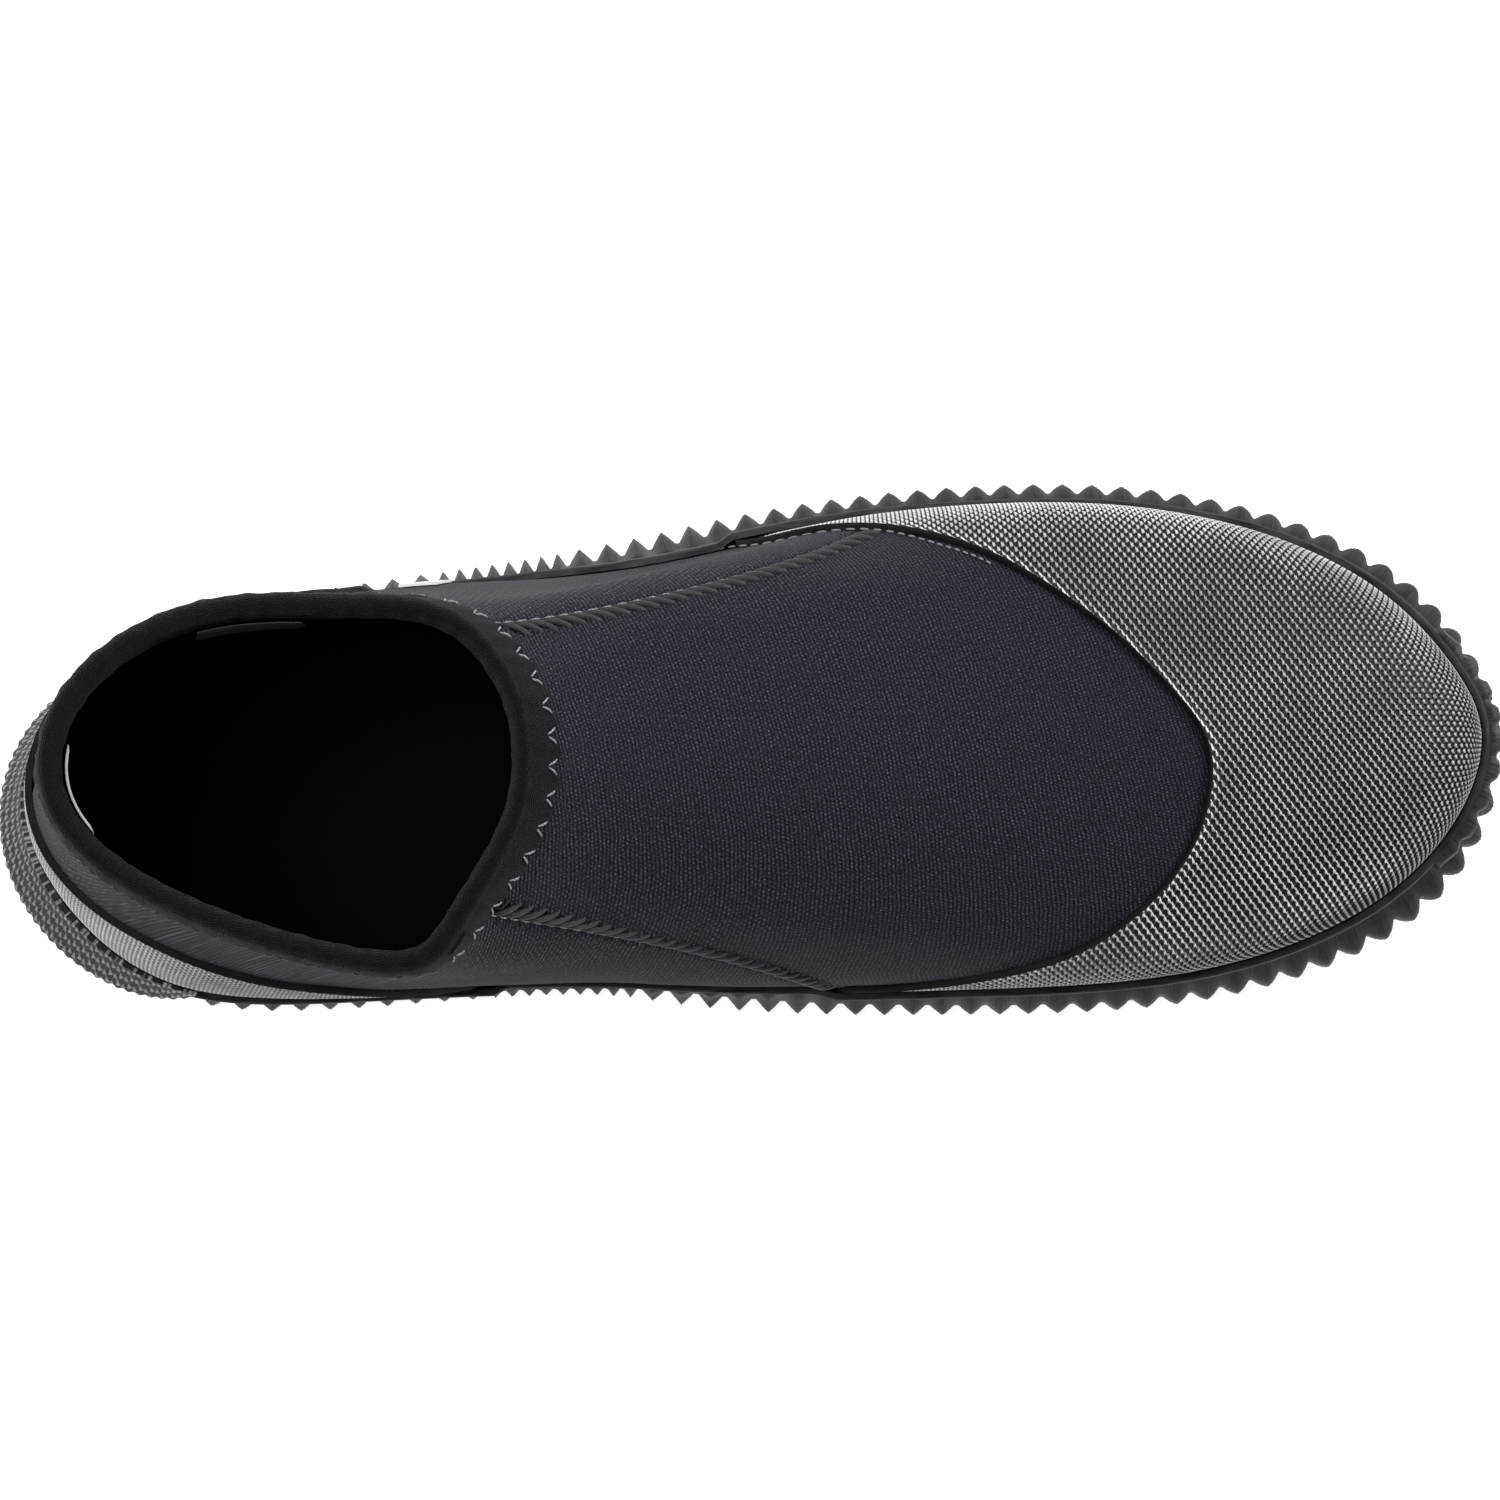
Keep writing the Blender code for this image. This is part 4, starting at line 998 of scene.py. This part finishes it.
def panel(name, start, end, columns, dip, puff, material, shaded_lining):
    """One neoprene panel, pulled in by dip along its edges and puckered by puff between the stitches."""
    a = np.linspace(start, end, columns)
    foot = at_height(a, CUP_TOP + GAP)
    s = foot[:, None] + (1 - foot)[:, None] * np.linspace(0, 1, 150)
    grid_a = a[:, None] + 0 * s
    points = on_surface(grid_a, s)
    pace = mm_per_degree(grid_a, s)
    depth = 0.16 * MM * ripples(points, 26 * MM, 3) * eased((points[..., 2] - FOXING_TOP) / (8 * MM))
    down = from_rim(grid_a, s)
    for seam, sign in ((start, 1), (end, -1)):
        off = sign * (grid_a - seam) * pace
        depth -= dip * np.exp(-((off / (1.1 * MM)) ** 2))
        if seam != HEEL:
            beside = np.exp(-(((off - 2.0 * MM) / (1.5 * MM)) ** 2))
            depth += puff * np.cos(2 * np.pi * down / SEAM_PITCH) * beside
    inner = place(grid_a, s, -NEOPRENE + 0 * s)
    outer = on_surface(grid_a, s) + normal_at(grid_a, s) * depth[..., None]
    return slab(name, inner, outer, [material, shaded_lining], pattern=panel_pattern(points))


def from_rim(a, s):
    """Distance down the surface from the rim, for a grid of stations and rows."""
    steps = np.linalg.norm(np.diff(on_surface(a, s), axis=1), axis=2)
    total = np.cumsum(steps[:, ::-1], axis=1)[:, ::-1]
    return np.concatenate([total, np.zeros((len(total), 1))], 1)


def panel_pattern(points):
    """The knit's place: U is the length along the boot and V the length across it, in mm."""
    rise = np.clip(points[..., 2] - 40 * MM, 0, None)
    u = points[..., 0] - 0.42 * rise
    fall = 0.5 * np.clip(60 * MM - points[..., 2], 0, None)
    v = points[..., 1] + np.tanh(points[..., 1] / (12 * MM)) * fall
    return np.stack([u, v], -1) / MM


def seam_threads(name, station, side, first, length, material):
    """Thick stitches that reach from a seam into the vamp. side is 1 on the outer seam, else -1."""
    end = BINDING_LEG + 1.0 * MM
    s_line = np.linspace(1, first, 200)
    down = lengths_along(on_surface(station, s_line))
    runs = []
    for number in range(int(end / SEAM_PITCH) + 1, int(down[-1] / SEAM_PITCH)):
        middle = (number + 0.5) * SEAM_PITCH
        t = np.linspace(0, 1, 9)
        s = np.interp(middle + SEAM_SLANT * (t - 0.35), down, s_line)
        a = station - side * (t * length - 0.4 * MM) / mm_per_degree(station, s)
        lift = (-0.55 + 0.85 * np.sin(np.pi * t) ** 0.7) * MM
        runs.append(place(a, s, lift))
    return threads(name, runs, SEAM_THREAD, material)


def seam_dashes(station, side, first):
    """The line of small stitches along a seam."""
    s_line = np.linspace(1, first, 200)
    down = lengths_along(on_surface(station, s_line))
    runs = []
    for number in range(int(BINDING_LEG / SEAM_PITCH) + 1, int(down[-1] / SEAM_PITCH)):
        middle = number * SEAM_PITCH
        t = np.linspace(-0.5, 0.5, 5)
        s = np.interp(middle + DASH_LENGTH * t, down, s_line)
        a = station + side * 0.55 * MM / mm_per_degree(station, s)
        runs.append(place(a, s, 0.15 * MM * (1 - (2 * t) ** 2) - 0.05 * MM))
    return runs


def edge_dashes():
    """Small stitches along the toe cap's edge, near the outer seam."""
    runs = []
    for middle in np.arange(33, 62, 1.15):
        a = middle + np.linspace(-0.36, 0.36, 5)
        s = np.maximum(toe_edge_at(a)[:, 0], cap_foot(a)) + 0.014
        runs.append(place(a, s, (0.25 + 0.2 * math.sin(middle * 5)) * MM + 0 * a))
    return runs


def collar_threads(name, front, material):
    """The zigzag that sews the binding on, two short legs for each notch, at the front or elsewhere."""
    runs = []
    for a in collar_stations():
        if (min(a, 360 - a) < ZIGZAG_FRONT) != front:
            continue
        pace = mm_per_degree(a, 0.93)
        for side in (-1, 1):
            t = np.linspace(0, 1, 6)
            drop = STITCH_DROP - 0.8 * MM + 2.1 * MM * t
            spread = side * (0.18 * MM + 1.3 * MM * t)
            stations = a + spread / pace
            s = below_rim(stations, drop)
            lift = GAP + BINDING + (0.05 + 0.30 * np.sin(np.pi * t)) * MM
            runs.append(place(stations, s, lift))
    return threads(name, runs, ZIGZAG_THREAD, material)


whole_stations = np.arange(0, 360.01, 1.0)
rim_lengths = lengths_along(rim(whole_stations))


def collar_stations():
    """The stations of the zigzag's points nearest the rim."""
    count = round(rim_lengths[-1] / COLLAR_PITCH)
    return np.interp((np.arange(count) + 0.55) * rim_lengths[-1] / count, rim_lengths, whole_stations)


def binding(material):
    """The stretch binding: folded over the rim, notched at each stitch and slightly wrinkled."""
    a = np.linspace(0, 360, 721)
    at = np.interp(a, whole_stations, rim_lengths)
    tips = np.interp(collar_stations(), whole_stations, rim_lengths)
    tips = np.concatenate([tips - rim_lengths[-1], tips, tips + rim_lengths[-1]])
    off = np.abs(at[:, None] - tips).min(1)
    notch = np.clip(1 - off / NOTCH_WIDTH, 0, 1)
    leg = BINDING_LEG - NOTCH_DEPTH * notch
    outer, inner = [], []
    swell = 0.12 * MM * np.sin(2 * np.pi * at / (7.3 * MM)) + 0.1 * MM * np.sin(2 * np.pi * at / (4.1 * MM))
    for share in np.linspace(1, 0, 11):
        s = below_rim(a, leg * share)
        puff = (0.35 * MM + swell) * math.sin(math.pi * min(1, share * 1.15)) ** 0.8
        thin = 1 if share < 1 else 0.25
        outer.append(place(a, s, GAP + BINDING * thin + puff - 0.35 * MM * notch * (share > 0.7)))
        inner.append(place(a, s, GAP * 0.5 + 0 * a))
    rim_point = on_surface(a, 1 + 0 * a)
    out = normal_at(a, 1 + 0 * a)
    up = np.array([0, 0, 1.0]) + 0 * out
    centre = rim_point - out * NEOPRENE / 2
    for turn in np.radians((30, 60, 90, 120, 150)):
        way = out * math.cos(turn) + up * math.sin(turn)
        half = NEOPRENE / 2 + GAP
        outer.append(centre + way * np.array(half + BINDING + 0.3 * swell)[:, None])
        inner.append(centre + way * half * 0.9)
    for share in np.linspace(0, 1, 7):
        s = below_rim(a, BINDING_LEG * share)
        thin = 1 if share < 1 else 0.3
        outer.append(place(a, s, -NEOPRENE - GAP - BINDING * thin - 0.5 * swell))
        inner.append(place(a, s, -NEOPRENE - GAP * 0.5 + 0 * a))
    return slab("collar_edging", np.stack(inner, 1), np.stack(outer, 1), [material], closed=True)


def patch(name, stations, drops, depth, thickness, material):
    """A small label on the surface, its edges rounded off. drops are its distances below the rim."""
    u = np.linspace(0, 1, 31)
    v = np.linspace(0, 1, 15)
    a = stations[0] + (stations[1] - stations[0]) * u
    s = np.stack([below_rim(a, drops[0] + (drops[1] - drops[0]) * share) for share in v], 1)
    near = np.minimum(np.minimum(u, 1 - u)[:, None], np.minimum(v, 1 - v)[None, :])
    crown = 0.35 + 0.65 * eased(near / 0.06)
    grid_a = a[:, None] + 0 * s
    low = place(grid_a, s, depth + 0 * s)
    high = place(grid_a, s, depth + thickness * crown)
    return slab(name, low, high, [material])


def insole(material):
    """The foam insole, cupped at the heel and raised under the arch."""
    low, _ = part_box("insole")
    a = np.linspace(0, 360, 241)
    shares = np.append(0, np.linspace(0.1, 1, 28))
    outline = feather(a) - outward(a) * (NEOPRENE + 2 * GAP)
    middle = np.array([0.52 * SOLE_LENGTH, 2 * MM])
    plan = middle + (outline - middle)[:, None] * shares[:, None]
    base = low.z + 0 * plan[..., 0]
    rim_lift = 1.2 * MM * shares**6 * (1 - shares**30)
    arch = 2.0 * MM * np.exp(-(((plan[..., 0] - 105 * MM) / (28 * MM)) ** 2))
    arch = arch * eased(-plan[..., 1] / (30 * MM))
    top = base + 3.3 * MM + rim_lift + arch * (1 - shares**30) - 1.2 * MM * shares**30
    faces = [np.concatenate([plan, z[..., None]], -1) for z in (base, top)]
    return slab("insole_foam", *faces, [material], closed=True)


# ---------------------------------------------------------------- build

sole_rubber = rubber_finish("sole_rubber", (0.0015, 0.0015, 0.0017), (0.024, 0.024, 0.025), 0.5, 0.4, 0.9)
band_rubber = rubber_finish("foxing_rubber", (0.006, 0.006, 0.0065), (0.040, 0.040, 0.042), 0.5, -0.45, 0.7)
# The bumper's rubber is a lighter copy of the foxing band's: painted highlight on the brightly lit ribs at
# the toe.
highlighted_rib_rubber = rubber_finish("ribbed_rubber_painted_highlight", (0.008, 0.008, 0.0085), (0.050, 0.050, 0.052), 0.42, 0.5, 0.5)
# Each net's second colour is a painted highlight: the glints of the light on its crossings and ridges, near
# white on the caps.
net_rubber = net_finish("toe_net_rubber_painted_highlights", (0.007, 0.007, 0.0075), (0.95, 0.95, 0.96), 0.08)
# The heel cap's base colour is painted lighter than the toe cap's, the same rubber: painted light on the
# heel.
heel_rubber = net_finish("heel_net_rubber_painted_highlights", (0.05, 0.05, 0.052), (0.9, 0.9, 0.91), 0.3)
stop_rubber = net_finish("strap_stop_rubber_painted_highlights", (0.006, 0.006, 0.0065), (0.27, 0.27, 0.28), 0.06)
edge_black = rubber_finish("cap_edge_black", (0.002, 0.002, 0.002), (0.008, 0.008, 0.008), 0.7, -0.5, 0.4)
jersey = jersey_finish("jersey", (0.0025, 0.0024, 0.0045), (0.125, 0.120, 0.165), 0.87, False, 12)
lycra = jersey_finish("stretch_binding", (0.0035, 0.0035, 0.0045), (0.026, 0.025, 0.031), 0.5, True, 0)
# The lining and the foam are black, and painted darker still: painted shade for the inside of the boot.
shaded_lining = cloth_finish("shaded_lining", (0.0004, 0.0004, 0.0004), (0.0015, 0.0015, 0.0017))
foam = cloth_finish("foam", (0.0008, 0.0008, 0.0008), (0.0022, 0.0022, 0.0024))
black_thread = thread_finish("black_thread", (0.002, 0.002, 0.0025), (0.014, 0.013, 0.017), 0.6)
pale_thread = thread_finish("pale_thread", (0.10, 0.10, 0.11), (0.42, 0.42, 0.45), 0.45)
white_label = label_finish("white_label", (0.55, 0.55, 0.56), (0.85, 0.85, 0.86))
grey_label = label_finish("grey_label", (0.015, 0.015, 0.017), (0.12, 0.12, 0.13))

fit(joined([cup_sole(sole_rubber), tread(sole_rubber)]), "sole_rubber", "outsole")
fit(foxing(band_rubber), "foxing_rubber", "foxing_band")
fit(bumper(highlighted_rib_rubber), "foxing_rubber", "toe_bumper")
fit(toe_cap(net_rubber), "embossed_rubber", "toe_cap")
fit(heel_cap(heel_rubber), "embossed_rubber", "heel_cap")
fit(strap_stop(stop_rubber), "embossed_rubber", "heel_strap_stop")

vamp = panel("vamp_jersey", -SEAM, SEAM, 193, 0.9 * MM, 0.7 * MM, jersey, shaded_lining)
fit(vamp, "neoprene", "vamp_panel")
outer_quarter = panel("outer_quarter_jersey", SEAM, HEEL, 199, 0.5 * MM, 0.15 * MM, jersey, shaded_lining)
fit(outer_quarter, "neoprene", "lateral_quarter")
inner_quarter = panel("inner_quarter_jersey", HEEL, 360 - SEAM, 199, 0.5 * MM, 0.15 * MM, jersey, shaded_lining)
fit(inner_quarter, "neoprene", "medial_quarter")

toe_strip = edge_strip("toe_cap_edge", np.linspace(-50, 59, 300), toe_edge_at, edge_black)
fit(toe_strip, "embossed_rubber")
heel_strip = edge_strip("heel_cap_edge", np.linspace(96, 275, 300), heel_edge_at, edge_black)
fit(heel_strip, "embossed_rubber")

outer_seam = (SEAM, 1, OUTER_SEAM_START)
inner_seam = (360 - SEAM, -1, INNER_SEAM_START)
outer_stitches = seam_threads("outer_seam_overlock", *outer_seam, 4.6 * MM, black_thread)
fit(outer_stitches, "black_thread", "lateral_seam_stitch")
inner_stitches = seam_threads("inner_seam_overlock", *inner_seam, 3.8 * MM, black_thread)
fit(inner_stitches, "black_thread", "medial_seam_stitch")
dashes = seam_dashes(*outer_seam) + seam_dashes(*inner_seam)
fit(threads("seam_topstitch", dashes, DASH_THREAD, pale_thread), "pale_thread")
fit(threads("cap_topstitch", edge_dashes(), BEAD_THREAD, pale_thread), "pale_thread")

fit(binding(lycra), "stretch_binding", "collar_binding")
fit(collar_threads("collar_zigzag", True, pale_thread), "pale_thread", "collar_stitch")
fit(collar_threads("collar_zigzag_sides", False, black_thread), "black_thread")

behind_leg = -NEOPRENE - BINDING - 3 * GAP
heel_label = patch("heel_size_label", (176, 206), (4 * MM, 15 * MM), behind_leg, -LABEL, white_label)
fit(heel_label, "white_label", "size_label")
inside_label = patch("inside_label", (103, 131), (4 * MM, 20 * MM), behind_leg, -LABEL, grey_label)
fit(inside_label, "grey_label", "woven_label")
overlap_drops = (0.5 * MM, 3.6 * MM)
overlap = patch("binding_overlap", (294, 304), overlap_drops, BINDING + 1.3 * GAP, BINDING, lycra)
fit(overlap, "stretch_binding", "binding_join")

footbed = fit(insole(foam), "foam", "insole")
kept_parts = {
    "midsole": foam, "strobel_sock": foam, "side_badge": white_label,
    "lateral_seam_tape": shaded_lining, "medial_seam_tape": shaded_lining, "heel_seam_tape": shaded_lining,
}
for node, material in kept_parts.items():
    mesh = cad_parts[node].data
    mesh.materials.clear()
    mesh.materials.append(material)

# ---------------------------------------------------------------- stage, light and camera


def floor():
    """A pale floor, far wider than the boot."""
    bm = bmesh.new()
    bmesh.ops.create_grid(bm, x_segments=1, y_segments=1, size=3)
    mesh = bpy.data.meshes.new("floor")
    bm.to_mesh(mesh)
    bm.free()
    paper = Finish("white_paper", (0.6, 0.6, 0.6), 0.9, Specular_IOR_Level=0.0)
    paper.set("Emission Color", (1, 1, 1, 1))
    paper.set("Emission Strength", 0.9)
    mesh.materials.append(paper.material)
    piece = bpy.data.objects.new("floor", mesh)
    bpy.context.scene.collection.objects.link(piece)


def softbox(name, at, size, power):
    """A square area light that faces the boot."""
    light = bpy.data.lights.new(name, "AREA")
    light.size = size
    light.energy = power
    lamp = bpy.data.objects.new(name, light)
    lamp.location = at
    lamp.rotation_euler = (Vector((0, 0, 0.04)) - Vector(at)).to_track_quat("-Z", "Y").to_euler()
    bpy.context.scene.collection.objects.link(lamp)


def camera():
    """A long lens nearly straight above, a little to the inner side."""
    distance = 1.2
    turn, climb = math.radians(-3.2), math.radians(83.5)
    back = Vector((math.sin(turn) * math.cos(climb), -math.cos(turn) * math.cos(climb), math.sin(climb)))
    aim = Vector((ORIGIN[0] + 131 * MM, ORIGIN[1] + 9 * MM, 0))
    lens = bpy.data.cameras.new("camera")
    lens.lens = 148.9
    lens.sensor_width = 36
    viewer = bpy.data.objects.new("camera", lens)
    viewer.location = aim + back * distance
    viewer.rotation_euler = (-back).to_track_quat("-Z", "Y").to_euler()
    bpy.context.scene.collection.objects.link(viewer)
    bpy.context.scene.camera = viewer


floor()
softbox("overhead", (-0.45, 0.1, 1.1), 0.45, 11)
softbox("outer_side", (-0.2, 0.9, 0.35), 0.4, 3.5)
softbox("toe_side", (0.85, 0.35, 0.45), 0.4, 10)
softbox("inner_side", (0.3, -0.9, 0.3), 0.4, 1)
camera()
world = bpy.data.worlds.new("studio")
world.use_nodes = True
world.node_tree.nodes["Background"].inputs["Color"].default_value = (1, 1, 1, 1)
world.node_tree.nodes["Background"].inputs["Strength"].default_value = 0.12
bpy.context.scene.world = world
bpy.context.scene.view_settings.view_transform = "Standard"
